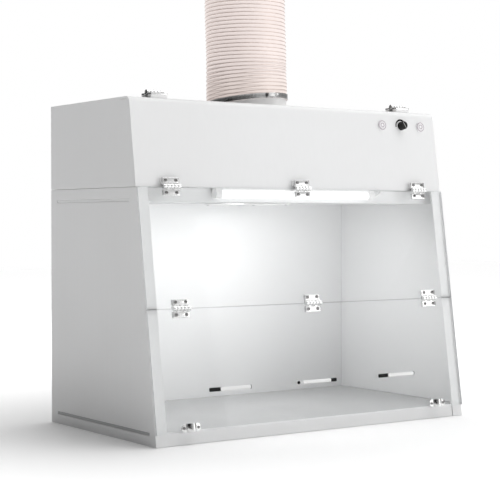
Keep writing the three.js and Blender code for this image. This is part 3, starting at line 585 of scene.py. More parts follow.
HOSE_PITCH = 8.3  # from one turn of the hose's wire to the next
SLOT_PITCH = 3.2  # from one worm slot of the clamp's band to the next
PLASTICS = {
    "grey_worktop": dict(light=grey(0.47, -0.008), dark=grey(0.45, -0.008), smooth=0.30, rough=0.40,
                         grain=500.0, strength=0.03, scale=5.0, dust=0.12),
    "white_moulded": dict(light=grey(0.92, 0.003), dark=grey(0.90, 0.003), smooth=0.28, rough=0.42,
                          grain=800.0, strength=0.07, scale=14.0),
    "dark_moulded": dict(light=grey(0.075), dark=grey(0.06), smooth=0.4, rough=0.58, grain=500.0,
                         strength=0.2, scale=12.0, dust=0.2),
    "black_moulded": dict(light=grey(0.012), dark=grey(0.009), smooth=0.32, rough=0.5,
                          strength=0.25, scale=30.0, dust=0.02, specular=0.22),
    # painted dark reflection and shade: the black of the grip bars' ends
    "painted_dark_ends": dict(light=grey(0.010), dark=grey(0.008), smooth=0.5, rough=0.68, grain=1200.0,
                         strength=0.3, scale=40.0, specular=0.2),
    "pale_button": dict(light=(0.93, 0.92, 0.935, 1), dark=(0.91, 0.90, 0.915, 1), smooth=0.18,
                        rough=0.3, grain=700.0, strength=0.03, scale=30.0, coat=0.3),
    "mauve_ring": dict(light=(0.34, 0.255, 0.31, 1), dark=(0.30, 0.225, 0.275, 1), smooth=0.3,
                       rough=0.45, strength=0.05, scale=60.0),
    "grey_print": dict(light=grey(0.42, 0.01), dark=grey(0.37, 0.01), smooth=0.5, rough=0.65,
                       grain=1500.0, strength=0.1, scale=90.0),
    "black_print": dict(light=grey(0.008), dark=grey(0.012), smooth=0.5, rough=0.65, grain=1500.0,
                        strength=0.1, scale=90.0, specular=0.1),
    "acrylic_edge": dict(light=grey(0.86, -0.01), dark=grey(0.80, -0.01), smooth=0.2, rough=0.45,
                         grain=600.0, strength=0.3, scale=20.0),
    "shaded_edge": dict(light=grey(0.13, -0.01), dark=grey(0.09, -0.01), smooth=0.3, rough=0.5,
                        grain=600.0, strength=0.3, scale=20.0),
}
METALS = {
    "steel": dict(light=grey(0.60, 0.004), dark=grey(0.48, 0.004), smooth=0.22, rough=0.4,
                  line_scale=30.0, strength=0.15, stretch=(1.0, 1.0, 30.0)),
    "zinc_chrome": dict(light=grey(0.74), dark=grey(0.68), smooth=0.14, rough=0.24, line_scale=60.0,
                        strength=0.04),
    "screw_steel": dict(light=grey(0.34, 0.01), dark=grey(0.26, 0.01), smooth=0.2, rough=0.36,
                        line_scale=200.0, strength=0.1),
    "copper_wire": dict(light=(0.60, 0.50, 0.45, 1), dark=(0.50, 0.40, 0.36, 1), smooth=0.3,
                        rough=0.45, line_scale=90.0, strength=0.1),
}
FINISHES = {name: plastic(name, **look) for name, look in PLASTICS.items()}
FINISHES.update({name: metal(name, **look) for name, look in METALS.items()})
FINISHES.update(white_sheet=make_white_sheet(), clear_acrylic=make_clear_acrylic(),
                lamp_diffuser=make_lamp_diffuser(), hose_film=make_hose_film(),
                band_steel=make_band_steel())


# ---------------------------------------------------------------- sheet parts, from the CAD's own shapes
def eased(node, finish, edge, sharp=25.0):
    """A CAD node's shape, merged, its flat faces whole again, smooth across bends, and its square edges
    eased by a bevel. It stands for the node."""
    merged = bmesh.new()
    merged.from_mesh(frame["nodes"][node].data)
    bmesh.ops.remove_doubles(merged, verts=merged.verts, dist=2e-5)
    bmesh.ops.dissolve_limit(merged, angle_limit=math.radians(0.6), verts=merged.verts,
                             edges=merged.edges)
    mesh = bpy.data.meshes.new(node + "_eased")
    merged.to_mesh(mesh)
    merged.free()
    mesh.polygons.foreach_set("use_smooth", np.ones(len(mesh.polygons), bool))
    mesh.set_sharp_from_angle(angle=math.radians(sharp))
    made = finished(node + "_eased", mesh, finish, BODY_OF[node], node)
    ease = made.modifiers.new("ease", "BEVEL")
    ease.width = edge * MM
    ease.segments = 3
    ease.limit_method = "ANGLE"
    ease.angle_limit = math.radians(40)
    ease.harden_normals = True
    return made


BODY_OF = {node: body for body, nodes in frame["record"]["behaviour"]["bodies"].items() for node in nodes}
for name in ("left_side_panel", "right_side_panel", "front_rail", "header_left_side", "header_right_side",
             "header_top", "header_cover"):
    eased(name, "white_sheet", 1.0)
for name in ("back_panel", "base_stiffener", "plenum_panel", "header_back", "header_floor"):
    eased(name, "white_sheet", 0.5)
eased("worktop", "grey_worktop", 0.6)
eased("lamp_base", "white_moulded", 0.5)


def clear_sheet(node, meeting):
    """A sash: clear through its two faces, with a sawn, duller finish on every face that is not square
    to the front's outward direction. The edge by the other sash, in its shade, is darker: the top edge
    where meeting is 1, the bottom edge where it is -1."""
    made = eased(node, "clear_acrylic", 0.4)
    made.data.materials.append(FINISHES["acrylic_edge"])
    made.data.materials.append(FINISHES["shaded_edge"])
    normal = read(made.data.polygons, "normal", np.float32, 3).reshape(-1, 3)
    edge = abs(normal @ OUT) < 0.7
    shaded = normal @ UP * meeting > 0.7
    made.data.polygons.foreach_set("material_index", edge.astype(np.int32) + shaded.astype(np.int32))


clear_sheet("upper_sash", -1)
clear_sheet("lower_sash", 1)
eased("motor_spider", "dark_moulded", 0.6)
eased("power_inlet", "black_moulded", 0.8)

# ---------------------------------------------------------------- duct, hose and clamp
DUCT_X, DUCT_Y, _ = centre("duct_collar")
COLLAR_LOW, COLLAR_HIGH = span("duct_collar")
HEADER_TOP = span("header_top")[1][2]
COLLAR_TOP = COLLAR_HIGH[2]
COLLAR_R, COLLAR_BORE = 88.0, 85.0
COLLAR_FLANGE_R = (COLLAR_HIGH[0] - COLLAR_LOW[0]) / 2
FLANGE = 3.0  # thickness of the collar's and the fan duct's flanges
HOSE_LEAN = 0.026
HOSE_SKEW = (0.063, -0.095)
HOSE_SETTLE = 70.0
HOSE_BASE = HEADER_TOP + 11.0
HOSE_TOP = span("duct_hose")[1][2]
HOSE_R = 89.5  # film at the wires
FILM = 0.35  # between the film's two faces
WIRE_R = 0.66


def hose_lie(shell):
    """The hose leans: x falls by 0.026 of the height above the collar. Its lower end sits askew: z
    rises by 0.063 x - 0.095 y, which fades out over the settling height above the collar."""
    points = shell[0].copy()
    above = np.maximum(0, points[:, 2] - COLLAR_TOP)
    fade = np.clip(1 - above / HOSE_SETTLE, 0, 1)
    points[:, 2] += fade * (HOSE_SKEW[0] * points[:, 0] + HOSE_SKEW[1] * points[:, 1])
    points[:, 0] -= HOSE_LEAN * above
    return points + np.array([DUCT_X, DUCT_Y, 0]), shell[1]


def free_share(height):
    """0 where the clamp holds the hose, growing to 1 where it is free."""
    return np.clip((height - COLLAR_TOP - 4) / 14, 0, 1)


def crown_radius(angle, height):
    """The film at its wire: a little narrower where it is free, R - 0.6, with waves of three and five
    to the turn that climb slowly."""
    wave = 0.35 * np.sin(3 * angle + height / 23) + 0.25 * np.sin(5 * angle - height / 31)
    return HOSE_R + free_share(height) * (wave - 0.6)


def film_shell():
    """Round the hose, r = R - sag (1 - |2p - 1|^2.4), where R is the crown and the phase p runs 0 to 1
    between the wire's turns, p = frac(z / pitch - a / 2 pi). The sag grows above the collar. The inner
    wall is the same surface, one film's thickness inside."""
    angles = 120
    rows = int((HOSE_TOP - HOSE_BASE) / HOSE_PITCH * 8)
    angle = np.arange(angles) * TURN / angles
    height = np.linspace(HOSE_BASE + 3.2, HOSE_TOP, rows)[:, None]
    phase = np.mod(height / HOSE_PITCH - angle / TURN, 1)
    hollow = 1 - np.abs(2 * phase - 1) ** 2.4
    radius = crown_radius(angle, height) - hollow * (0.45 + 0.75 * free_share(height))
    outer = polar(radius, angle, height)
    inner = outer[::-1] * [1 - FILM / HOSE_R, 1 - FILM / HOSE_R, 1]
    return np.concatenate([outer, inner]).reshape(-1, 3), net(2 * rows, angles, True)


def wire_shell():
    """The hose's wire: the helix z = pitch (t + a / 2 pi) just inside the film's crown."""
    turns = (HOSE_TOP - HOSE_BASE - 3) / HOSE_PITCH
    first = math.ceil(HOSE_BASE / HOSE_PITCH + 0.3)
    t = np.arange(int(turns * 60)) / 60
    angle, height = t * TURN, (first + t) * HOSE_PITCH
    path = polar(crown_radius(angle, height) - FILM, angle, height)
    return tube(path[height < HOSE_TOP - 1], WIRE_R, RISE, 8)


piece("hose_film", hose_lie(film_shell()), "hose_film", "cabinet", "duct_hose", 50)
piece("hose_wire", hose_lie(wire_shell()), "copper_wire", "cabinet")

collar_outline = softened([
    [COLLAR_BORE, COLLAR_LOW[2]], [COLLAR_FLANGE_R, COLLAR_LOW[2]],
    [COLLAR_FLANGE_R, COLLAR_LOW[2] + FLANGE], [COLLAR_R, COLLAR_LOW[2] + FLANGE],
    [COLLAR_R, COLLAR_TOP], [COLLAR_BORE, COLLAR_TOP]], 0.8)
piece("collar_tube", shifted(turned(collar_outline, 96), DUCT_X, DUCT_Y), "white_moulded", "cabinet",
      "duct_collar")

# the clamp's band, with rolled rims, its tail lapped over it past the screw
CLAMP_BASE = HEADER_TOP + 13.5
CLAMP_HIGH = 11.0
BAND_IN, BAND_OUT = 90.2, 91.1
BAND_RIM = 0.25  # how far the rims stand out


def band_shell():
    """A closed section round the hose: flat, with each rim turned out."""
    high, rim = CLAMP_HIGH, BAND_OUT + BAND_RIM
    outline = [[BAND_IN, 0], [rim, 0], [rim, 0.8], [BAND_OUT, 1.3], [BAND_OUT, high - 1.3],
               [rim, high - 0.8], [rim, high], [BAND_IN, high]]
    return shifted(turned(softened(outline, 0.3, 3), 120), z=CLAMP_BASE)


def tail_shell():
    """The band's loose tail: the same band, an arc lapped 0.35 mm outside from 6 to 38 degrees past the
    screw, its end rounded."""
    sweep = np.radians(np.linspace(-90 + 6, -90 + 38, 24))
    width = 4.6 * np.sqrt(np.clip(1 - np.linspace(0, 1, 24) ** 12, 0.02, 1))
    section = rectangle(BAND_OUT + 0.35, BAND_OUT + 1.05, -1, 1)
    up = section[:, 1] * width[:, None] + CLAMP_BASE + CLAMP_HIGH / 2
    return lofted(polar(section[:, 0], sweep[:, None], up))


band = piece("clamp_band_steel", [hose_lie(band_shell()), hose_lie(tail_shell())], "band_steel",
             "cabinet", "clamp_band")


def unwrap_band(made):
    """The band's own map: u = length round the duct in millimetres, v = height across the band, 0..1."""
    mesh = made.data
    uv = mesh.uv_layers.new(name="band")
    corners = read(mesh.loops, "vertex_index", np.int32)
    co = read(mesh.vertices, "co", np.float32, 3).reshape(-1, 3)[corners] / MM - [DUCT_X, DUCT_Y, 0]
    angle = np.arctan2(co[:, 1], co[:, 0])
    tilt = HOSE_SKEW[0] * co[:, 0] + HOSE_SKEW[1] * co[:, 1]
    height = (co[:, 2] - tilt - CLAMP_BASE) / CLAMP_HIGH
    lead = np.repeat(angle[read(mesh.polygons, "loop_start", np.int32)],
                     read(mesh.polygons, "loop_total", np.int32))
    angle -= TURN * np.round((angle - lead) / TURN)
    uv.data.foreach_set("uv", np.stack([angle * BAND_OUT, height], -1).astype(np.float32).ravel())


unwrap_band(band)

# worm housing: an arched saddle with its screw's neck and hexagon head beside it
CLAMP_MID = CLAMP_BASE + CLAMP_HIGH / 2
SCREW_OUT = 3.6


def along_x(outline, x0, x1, edge=0.5):
    """A plane outline (z, out) carried along x, out being away from the duct's axis at its front."""
    shell = slab(softened(outline, 1.2, 4), x0, x1, edge)
    return stand(shell, [0, -BAND_OUT - 0.3, CLAMP_MID], RISE, [0, -1, 0], ACROSS)


saddle_arch = [[-5.6, 0], [5.6, 0], [5.4, 3.4], [3.6, 6.4], [-3.6, 6.4], [-5.4, 3.4]]
hexagon = polar(1.0, np.arange(6) * TURN / 6, 0.0)[:, :2]
housing = [
    along_x(saddle_arch, -10.8, 8.2, 0.7),
    along_x(hexagon * 2.6 + [0, SCREW_OUT], 8.0, 10.4, 0.3),
    along_x(hexagon * 3.1 + [0, SCREW_OUT], 10.2, 16.8, 0.6),
]
piece("clamp_worm_housing", [hose_lie(shell) for shell in housing], "steel", "cabinet", "clamp_screw")

# the cuff on the hose's far end, ribbed on the outside
CUFF_LOW, CUFF_HIGH = span("hose_cuff")
cuff_x, cuff_y, _ = centre("hose_cuff")
cuff_out = (CUFF_HIGH[0] - CUFF_LOW[0]) / 2
CUFF_WALL, CUFF_LIP, CUFF_BORE = 3.0, 3.0, 88.4
rib_z = np.repeat(np.linspace(CUFF_LOW[2] + 4, CUFF_HIGH[2] - 5, 9), 2)[1:-1]
rib_r = np.tile([cuff_out, cuff_out, cuff_out - 0.8, cuff_out - 0.8], 4)[:len(rib_z)]
cuff_outline = softened(
    [[cuff_out - CUFF_WALL, CUFF_LOW[2]], [cuff_out, CUFF_LOW[2]]] + list(zip(rib_r, rib_z))
    + [[cuff_out, CUFF_HIGH[2]], [CUFF_BORE, CUFF_HIGH[2]], [CUFF_BORE, CUFF_HIGH[2] - CUFF_LIP],
       [cuff_out - CUFF_WALL, CUFF_HIGH[2] - CUFF_LIP]], 0.6, 3)
piece("cuff_ring", shifted(turned(cuff_outline, 96), cuff_x, cuff_y), "white_moulded", "cabinet",
      "hose_cuff")

# ---------------------------------------------------------------- fan in the header
FAN_LOW, FAN_HIGH = span("fan_housing")
FAN_BORE, FAN_R, FAN_FLANGE_R = 85, 88, 100
fan_outline = softened([
    [FAN_BORE, FAN_LOW[2]], [FAN_FLANGE_R, FAN_LOW[2]], [FAN_FLANGE_R, FAN_LOW[2] + FLANGE],
    [FAN_R, FAN_LOW[2] + FLANGE], [FAN_R, FAN_HIGH[2]], [FAN_BORE, FAN_HIGH[2]]], 1.0)
piece("fan_duct", shifted(turned(fan_outline, 96), DUCT_X, DUCT_Y), "dark_moulded", "cabinet",
      "fan_housing")


def screw(radius, height, recess=0.9):
    """A domed head, h sqrt(1 - 0.75 (r/R)^2) high, with a cross sunk where |x| or |y| is under 0.16 R
    and both are under 0.68 R; its foot is flat."""
    rows, columns = 13, 40
    ring = np.linspace(0, 1, rows)[:, None]
    angle = np.arange(columns) * TURN / columns
    x, y = ring * np.cos(angle), ring * np.sin(angle)
    top = height * np.sqrt(1 - 0.75 * ring ** 2) + 0 * angle
    cross = (np.minimum(abs(x), abs(y)) < 0.16) & (np.maximum(abs(x), abs(y)) < 0.68)
    top = top - cross * recess * height * 0.75
    dome = np.stack([x * radius, y * radius, top], -1)
    rings = np.concatenate([dome, dome[-1:] * [1, 1, 0], np.zeros((1, columns, 3))])
    return rings.reshape(-1, 3), net(rows + 2, columns)


def heads(places, radius=3.4, height=1.6, right=ACROSS, up=(0, 1, 0), out=RISE):
    """Screw heads at points, facing out."""
    return [stand(screw(radius, height), place, right, up, out) for place in places]


def round_duct(count, radius, first, z):
    """Points spread evenly round the duct's axis."""
    return polar(radius, first + np.arange(count) * TURN / count, z) + [DUCT_X, DUCT_Y, 0]


piece("fan_duct_screws", heads(round_duct(6, 94, 0.3, FAN_LOW[2] + FLANGE)), "screw_steel", "cabinet")

MOTOR_LOW, MOTOR_HIGH = span("fan_motor")
motor_r = (MOTOR_HIGH[0] - MOTOR_LOW[0]) / 2


def motor_shell():
    """A can with 28 shallow cooling ribs down its side, r = R (1 - 0.024 (0.5 - 0.5 cos 28a)) between
    its two plain rims, and a seat for the shaft."""
    low, high = MOTOR_LOW[2], MOTOR_HIGH[2]
    outline = [[0, low], [motor_r, low], [motor_r, low + 9], [motor_r - 0.01, low + 11],
               [motor_r - 0.01, high - 12], [motor_r, high - 10], [motor_r, high - 3],
               [motor_r - 3, high], [4.4, high], [4.4, high - 16], [0, high - 16]]
    points, faces = turned(softened(outline, 0.9, 4, False), 168)
    angle = np.arctan2(points[:, 1], points[:, 0])
    ribbed = (points[:, 2] > low + 10.5) & (points[:, 2] < high - 11.5)
    points[:, :2] *= (1 - ribbed * 0.024 * (0.5 - 0.5 * np.cos(28 * angle)))[:, None]
    return points, faces


piece("motor_can", shifted(motor_shell(), DUCT_X, DUCT_Y), "steel", "cabinet", "fan_motor")

HUB_LOW, HUB_HIGH = span("fan_impeller")
HUB_Z0, HUB_Z1 = MOTOR_HIGH[2] + 4, HUB_HIGH[2]
HUB_MID = (HUB_Z0 + HUB_Z1) / 2
BLADES, BLADE_ROOT, BLADE_REACH = 7, 33, 49
hub_outline = softened([[0, HUB_Z0], [36, HUB_Z0], [36, HUB_Z1 - 6], [30, HUB_Z1 - 0.5], [12, HUB_Z1],
                        [9, HUB_Z1 - 2.5], [0, HUB_Z1 - 2.5]], 2.0, 6, False)


def blade_shell(first):
    """A blade: over its reach its chord turns from 50 to 28 degrees off level and bows by a parabola;
    at share c of its chord it is 2.4 sqrt(c (1 - c)) + 0.5 thick."""
    share = np.linspace(0, 1, 14)[:, None]
    loop = np.concatenate([np.linspace(0, 1, 14), np.linspace(1, 0, 14)[1:-1]])
    side = np.concatenate([np.ones(14), -np.ones(12)])
    side[[0, 13]] = 0
    radius = BLADE_ROOT + BLADE_REACH * share
    chord = 30 + 13 * share
    pitch = np.radians(50 - 22 * share)
    thick = 0.5 * side * (2.4 * np.sqrt(loop * (1 - loop)) + 0.5)
    along = (loop - 0.5) * chord
    bow = 4.5 * (1 - (2 * loop - 1) ** 2) - 2.5 + thick
    level = along * np.cos(pitch) - bow * np.sin(pitch)
    rise = along * np.sin(pitch) + bow * np.cos(pitch)
    room = (HUB_Z1 - HUB_Z0) / 2 - 0.6
    angle = first + 0.18 * share + level / radius
    return lofted(polar(radius, angle, HUB_MID + np.clip(rise, -room, room)))


wheel = [turned(hub_outline, 64), drum(4, HUB_LOW[2], HUB_Z0 + 1, 0.6, 3, 32)]
wheel += [blade_shell(i * TURN / BLADES) for i in range(BLADES)]
piece("fan_wheel", [shifted(shell, DUCT_X, DUCT_Y) for shell in wheel], "black_moulded", "impeller",
      "fan_impeller", 40)

# wire guard over the intake: rings on three crossed bars, with a moulded rim
GUARD_LOW, GUARD_HIGH = span("intake_grille")
GUARD_MID = (GUARD_LOW[2] + GUARD_HIGH[2]) / 2
GUARD_RINGS = (12, 26, 40, 54, 68)


def guard_ring(radius):
    """A round wire bent to a circle."""
    return tube(polar(radius, np.arange(96) * TURN / 96, GUARD_MID), 0.95, RISE, 8, True)


def guard_bar(angle):
    """A straight wire across the rings."""
    return tube(polar(np.linspace(-84, 84, 30), angle, GUARD_MID), 1.1, RISE, 8)


guard = [hoop(82, 94, GUARD_LOW[2], GUARD_HIGH[2], 0.9, 4, 96)] + [guard_ring(r) for r in GUARD_RINGS]
guard += [guard_bar(i * TURN / 6) for i in range(3)]
piece("intake_guard", [shifted(shell, DUCT_X, DUCT_Y) for shell in guard], "white_moulded", "cabinet",
      "intake_grille")
piece("intake_guard_screws", heads(round_duct(4, 88.5, TURN / 8, GUARD_LOW[2]), 3.0, 1.2, ACROSS,
                                   (0, -1, 0), -RISE), "screw_steel", "cabinet")

# ---------------------------------------------------------------- lamp
LAMP_LOW, LAMP_HIGH = span("lamp_tube")
_, LAMP_Y, LAMP_Z = centre("lamp_tube")
TUBE_R = (LAMP_HIGH[2] - LAMP_LOW[2]) / 2
FOOT_HALF = 7  # half the width of an end cap's foot
LEAD_X, LEAD_R, RELIEF = 232.0, 2.2, 1.1
LEAD_THROUGH = (498.7, 506.3)  # heights under and over the header floor


def lying(shell):
    """A shell turned about its third axis, laid along the lamp's."""
    return stand(shell, [0, LAMP_Y, LAMP_Z], [0, 1, 0], RISE, ACROSS)


piece("lamp_glow_tube", lying(drum(TUBE_R, LAMP_LOW[0], LAMP_HIGH[0], 0.6, 4, 48)), "lamp_diffuser",
      "cabinet", "lamp_tube")
for side in ("left", "right"):
    cap_low, cap_high = span("lamp_" + side + "_cap")
    cap = lying(drum((cap_high[1] - cap_low[1]) / 2, cap_low[0], cap_high[0], 1.6, 6, 48))
    foot = block(cap_low[0] + 0.4, cap_high[0] - 0.4, LAMP_Y - FOOT_HALF, LAMP_Y + FOOT_HALF,
                 LAMP_Z, cap_high[2], 1.5, 0.8)
    piece("lamp_end_" + side, [cap, foot], "white_moulded", "cabinet", "lamp_" + side + "_cap")

lead_top = span("lamp_lead")[1][2]
cap_end = span("lamp_right_cap")[1][0]
lead_way = [(cap_end - 1, LAMP_Z), (cap_end + 8, LAMP_Z), (LEAD_X - 4, LAMP_Z + 4),
            (LEAD_X, LEAD_THROUGH[0]), (LEAD_X, LEAD_THROUGH[1]), (LEAD_X, lead_top)]
lead_path = smooth_path([(x, LAMP_Y, z) for x, z in lead_way], 60)
near_cap = np.clip(1 - (lead_path[:, 0] - cap_end) / 9, 0, 1) * (lead_path[:, 2] < LAMP_Z + 2)
piece("lamp_cable", tube(lead_path, LEAD_R + RELIEF * near_cap, [0, 1, 0], 16), "white_moulded",
      "cabinet", "lamp_lead")

# ---------------------------------------------------------------- electrics
BOX_LOW, BOX_HIGH = span("control_box")
LID = 5.0
LID_STEP = 0.8
case = [
    block(BOX_LOW[0], BOX_HIGH[0], BOX_LOW[1], BOX_HIGH[1], BOX_LOW[2], BOX_HIGH[2] - LID, 4, 1),
    block(BOX_LOW[0] + LID_STEP, BOX_HIGH[0] - LID_STEP, BOX_LOW[1] + LID_STEP, BOX_HIGH[1] - LID_STEP,
          BOX_HIGH[2] - LID + 0.4, BOX_HIGH[2], 4, 1.2),
]
piece("supply_case", case, "dark_moulded", "cabinet", "control_box")
corners = [(x, y, BOX_HIGH[2]) for x in (BOX_LOW[0] + 7, BOX_HIGH[0] - 7)
           for y in (BOX_LOW[1] + 7, BOX_HIGH[1] - 7)]
piece("supply_case_screws", heads(corners, 2.8, 1.3), "screw_steel", "cabinet")

inlet_x, _, inlet_z = centre("power_inlet")
inlet_face = span("power_inlet")[1][1]
PIN_FROM, PIN_TO = 198.0, 209.0
inlet_pin = slab(rectangle(-1, 1, -2, 2, 0.5), PIN_FROM, PIN_TO, 0.5)
inlet_pins = [stand(inlet_pin, [inlet_x + dx, 0, inlet_z + dz], ACROSS, RISE, [0, 1, 0])
              for dx, dz in ((-7, -2.5), (7, -2.5), (0, 2.5))]
piece("inlet_pins", inlet_pins, "screw_steel", "cabinet")
piece("inlet_screws", heads([(inlet_x + dx, inlet_face, inlet_z) for dx in (-20.5, 20.5)], 3.2, 1.4,
                            -ACROSS, RISE, (0, 1, 0)), "screw_steel", "cabinet")

# ---------------------------------------------------------------- controls
CONTROL_U = up_front(pin_of("knob_turn")[2])
BEZEL = [[0, -26], [8.8, -26], [8.8, 0.3], [10.75, 0.3], [10.75, 2.3], [10.0, 2.8], [7.9, 2.8],
         [7.6, 2.5], [7.6, -6.1], [0, -6.1]]
BEZEL_RIM = [[9.2, 2.6], [10.3, 2.5], [10.3, 2.95], [9.2, 3.05]]
BUTTON = [[0, -2.6], [7.2, -2.6], [7.2, 2.8], [6.5, 3.4], [3, 3.15], [0, 3.1]]
POT = [[0, -17.3], [12, -17.3], [12, -5.3], [4.8, -5.3], [4.8, 0.2], [3.4, 0.2], [3.4, -11], [0, -11]]


def control(name, shell, x, finish, body, node=None, sharp=35.0):
    """A piece turned about an axis out of the front, in the row of controls."""
    piece(name, on_front(shell, x, CONTROL_U), finish, body, node, sharp)


for name in ("fan", "light"):
    x = centre(name + "_switch_body")[0]
    control(name + "_switch_bezel", turned(softened(BEZEL, 0.35, 3, False), 64), x, "pale_button",
            "header_cover", name + "_switch_body")
    control(name + "_switch_rim", turned(softened(BEZEL_RIM, 0.15, 3), 64), x, "mauve_ring",
            "header_cover")
    control(name + "_button_cap", turned(softened(BUTTON, 0.5, 4, False), 64), x, "pale_button",
            name + "_button", name + "_button")
    control(name + "_button_mark", hoop(3.7, 4.9, 2.9, 3.42, 0.15, 3, 64), x, "mauve_ring",
            name + "_button")

KNOB_X = pin_of("knob_turn")[0]
control("speed_control_body", turned(softened(POT, 0.5, 3, False), 48), KNOB_X, "steel",
        "header_cover", "speed_control")


def knob_shell():
    """A knob on its spindle; its side carries 30 flutes, r = R (1 - 0.035 (0.5 - 0.5 cos 30a))."""
    outline = [[0, -9], [3, -9], [3, 0.8], [9.5, 0.8], [9.5, 2.6], [9.1, 3.2], [8.8, 13.2],
               [8.0, 14.3], [0, 14.3]]
    points, faces = turned(softened(outline, 0.5, 4, False), 180)
    angle = np.arctan2(points[:, 1], points[:, 0])
    radius = np.hypot(points[:, 0], points[:, 1])
    fluted = (radius > 8.4) & (points[:, 2] > 3) & (points[:, 2] < 13.6)
    points[:, :2] *= (1 - fluted * 0.035 * (0.5 - 0.5 * np.cos(30 * angle)))[:, None]
    return points, faces


POINTER = math.radians(30)  # how far the knob's pointer is turned
pointer_right = polar(1.0, POINTER, 0.0)
pointer = slab(rectangle(-0.75, 0.75, -7.6, 7.9, 0.5), 14.1, 14.5, 0.15)
pointer = stand(pointer, [0, 0, 0], pointer_right, np.cross(RISE, pointer_right), RISE)
control("knob_grip", knob_shell(), KNOB_X, "black_moulded", "speed_knob", "speed_knob")
control("knob_pointer", pointer, KNOB_X, "grey_print", "speed_knob")


def scale_shell():
    """A printed arc round the knob, clockwise from nine o'clock to half past one, whose width grows
    from 2.4 to 4.8 mm."""
    share = np.linspace(0, 1, 48)
    angle = np.radians(188 - 146 * share)
    half = (2.4 + 2.4 * share) / 2
    near, far = 14.0 - half, 14.0 + half
    return lofted(polar(np.stack([near, far, far, near], -1), angle[:, None], [0.02, 0.02, 0.14, 0.14]))


control("speed_scale", scale_shell(), KNOB_X, "black_print", "header_cover", None, 60)

# ---------------------------------------------------------------- butt hinges
LEAF_HALF = 20.0
LEAF_NEAR, LEAF_FAR = 6.0, 18.5  # a leaf's two long edges, from the pin's axis
KNUCKLE = 8.0
KNUCKLE_GAP = 0.3
PIN_HEIGHT = 6.5  # from the face that a leaf lies on up to its pin
BARREL_R = 5.2
FACE = -2.0  # a leaf's outer face, from the pin's axis
SASH_PACKING, COVER_PACKING = 5.3, 6.0


def packing_block(packing):
    """The block under a leaf, in its pin's frame."""
    return slab(rectangle(-LEAF_HALF + 0.4, LEAF_HALF - 0.4, LEAF_NEAR + 0.4, LEAF_FAR - 0.4, 1.5),
                -PIN_HEIGHT - packing + 0.3, -PIN_HEIGHT + 0.6, 0.3)


def leaf_shells(holds_pin):
    """A leaf in its pin's frame, first axis along the pin, second away from it, third out: a plate with
    round corners, its knuckles and the web under each of them."""
    outline = rectangle(-LEAF_HALF, LEAF_HALF, LEAF_NEAR, LEAF_FAR, 2.2, 5)
    shells = [slab(outline, -PIN_HEIGHT + 0.3, FACE, 0.7)]
    for i in range(0 if holds_pin else 1, 5, 2):
        x0 = -LEAF_HALF + KNUCKLE * i + (KNUCKLE_GAP if i else 0)
        x1 = -LEAF_HALF + KNUCKLE * (i + 1) - (KNUCKLE_GAP if i < 4 else 0)
        shells.append(stand(drum(BARREL_R, x0, x1, 0.5, 3, 32), [0, 0, 0], [0, 1, 0], RISE, ACROSS))
        shells.append(block(x0, x1, 0.5, 7.5, -4.6, FACE, 0.3, 0.3))
    return shells


def leaf(name, x, pin, up, holds_pin, body, out=OUT, packing=0.0):
    """A leaf, its screws and its packing at a pin, "up" being the leaf's way from the pin."""
    parts = [("_plate", leaf_shells(holds_pin), "zinc_chrome", name),
             ("_screws", heads([(-12, 12.4, FACE), (12, 12.4, FACE)], 3.6, 1.5), "screw_steel", None)]
    if packing:
        parts.append(("_block", [packing_block(packing)], "white_moulded", None))
    for ending, shells, finish, node in parts:
        piece(name + ending, [stand(shell, [x, pin[1], pin[2]], ACROSS, up, out) for shell in shells],
              finish, body, node)


top_pin, fold_pin, cover_pin = pin_of("upper_sash_hinge"), pin_of("fold_hinge"), pin_of("cover_hinge")
for place in ("left", "centre", "right"):
    x = centre("top_hinge_upper_leaf_" + place)[0]
    leaf("top_hinge_upper_leaf_" + place, x, top_pin, UP, True, "header_cover", packing=SASH_PACKING)
    leaf("top_hinge_lower_leaf_" + place, x, top_pin, -UP, False, "upper_sash")
    leaf("fold_hinge_upper_leaf_" + place, x, fold_pin, UP, True, "upper_sash")
    leaf("fold_hinge_lower_leaf_" + place, x, fold_pin, -UP, False, "lower_sash")
for side in ("left", "right"):
    x = centre("cover_hinge_fixed_leaf_" + side)[0]
    leaf("cover_hinge_fixed_leaf_" + side, x, cover_pin, [0, 1, 0], True, "cabinet", RISE, COVER_PACKING)
    leaf("cover_hinge_moving_leaf_" + side, x, cover_pin, [0, -1, 0], False, "header_cover", RISE,
         COVER_PACKING)

# ---------------------------------------------------------------- grip bars and lift loops
SASH_FACE = 5.6  # the sash hardware's foot, out from the front plane
BAR_U = up_front(101.0)
LOOP_U = up_front(32.0)
LOOP_THICK = 2.5


def bar_section(length, width, thick, rise, taper=0.0):
    """A bar along x whose section is the superellipse |y/b|^3 + |z/c|^3 = 1, narrowing by "taper"
    towards its right end; its two ends round off over 1.5 mm."""
    tip = np.array([0, 0.3, 0.8, 1.5])
    x = np.concatenate([tip, np.linspace(3, length - 3, 20), length - tip[::-1]])
    near_end = np.minimum(np.minimum(x, length - x), 1.5) / 1.5
    size = (0.6 + 0.4 * np.sqrt(1 - (1 - near_end) ** 2)) * (1 - taper * x / length)
    angle = np.arange(28) * TURN / 28
    cosine, sine = np.cos(angle), np.sin(angle)
    shape = (abs(cosine) ** 3 + abs(sine) ** 3) ** (-1 / 3)
    y = size[:, None] * width / 2 * shape * cosine
    z = rise + size[:, None] * thick / 2 * shape * sine
    return lofted(np.stack([x[:, None] + 0 * angle, y, z], -1))
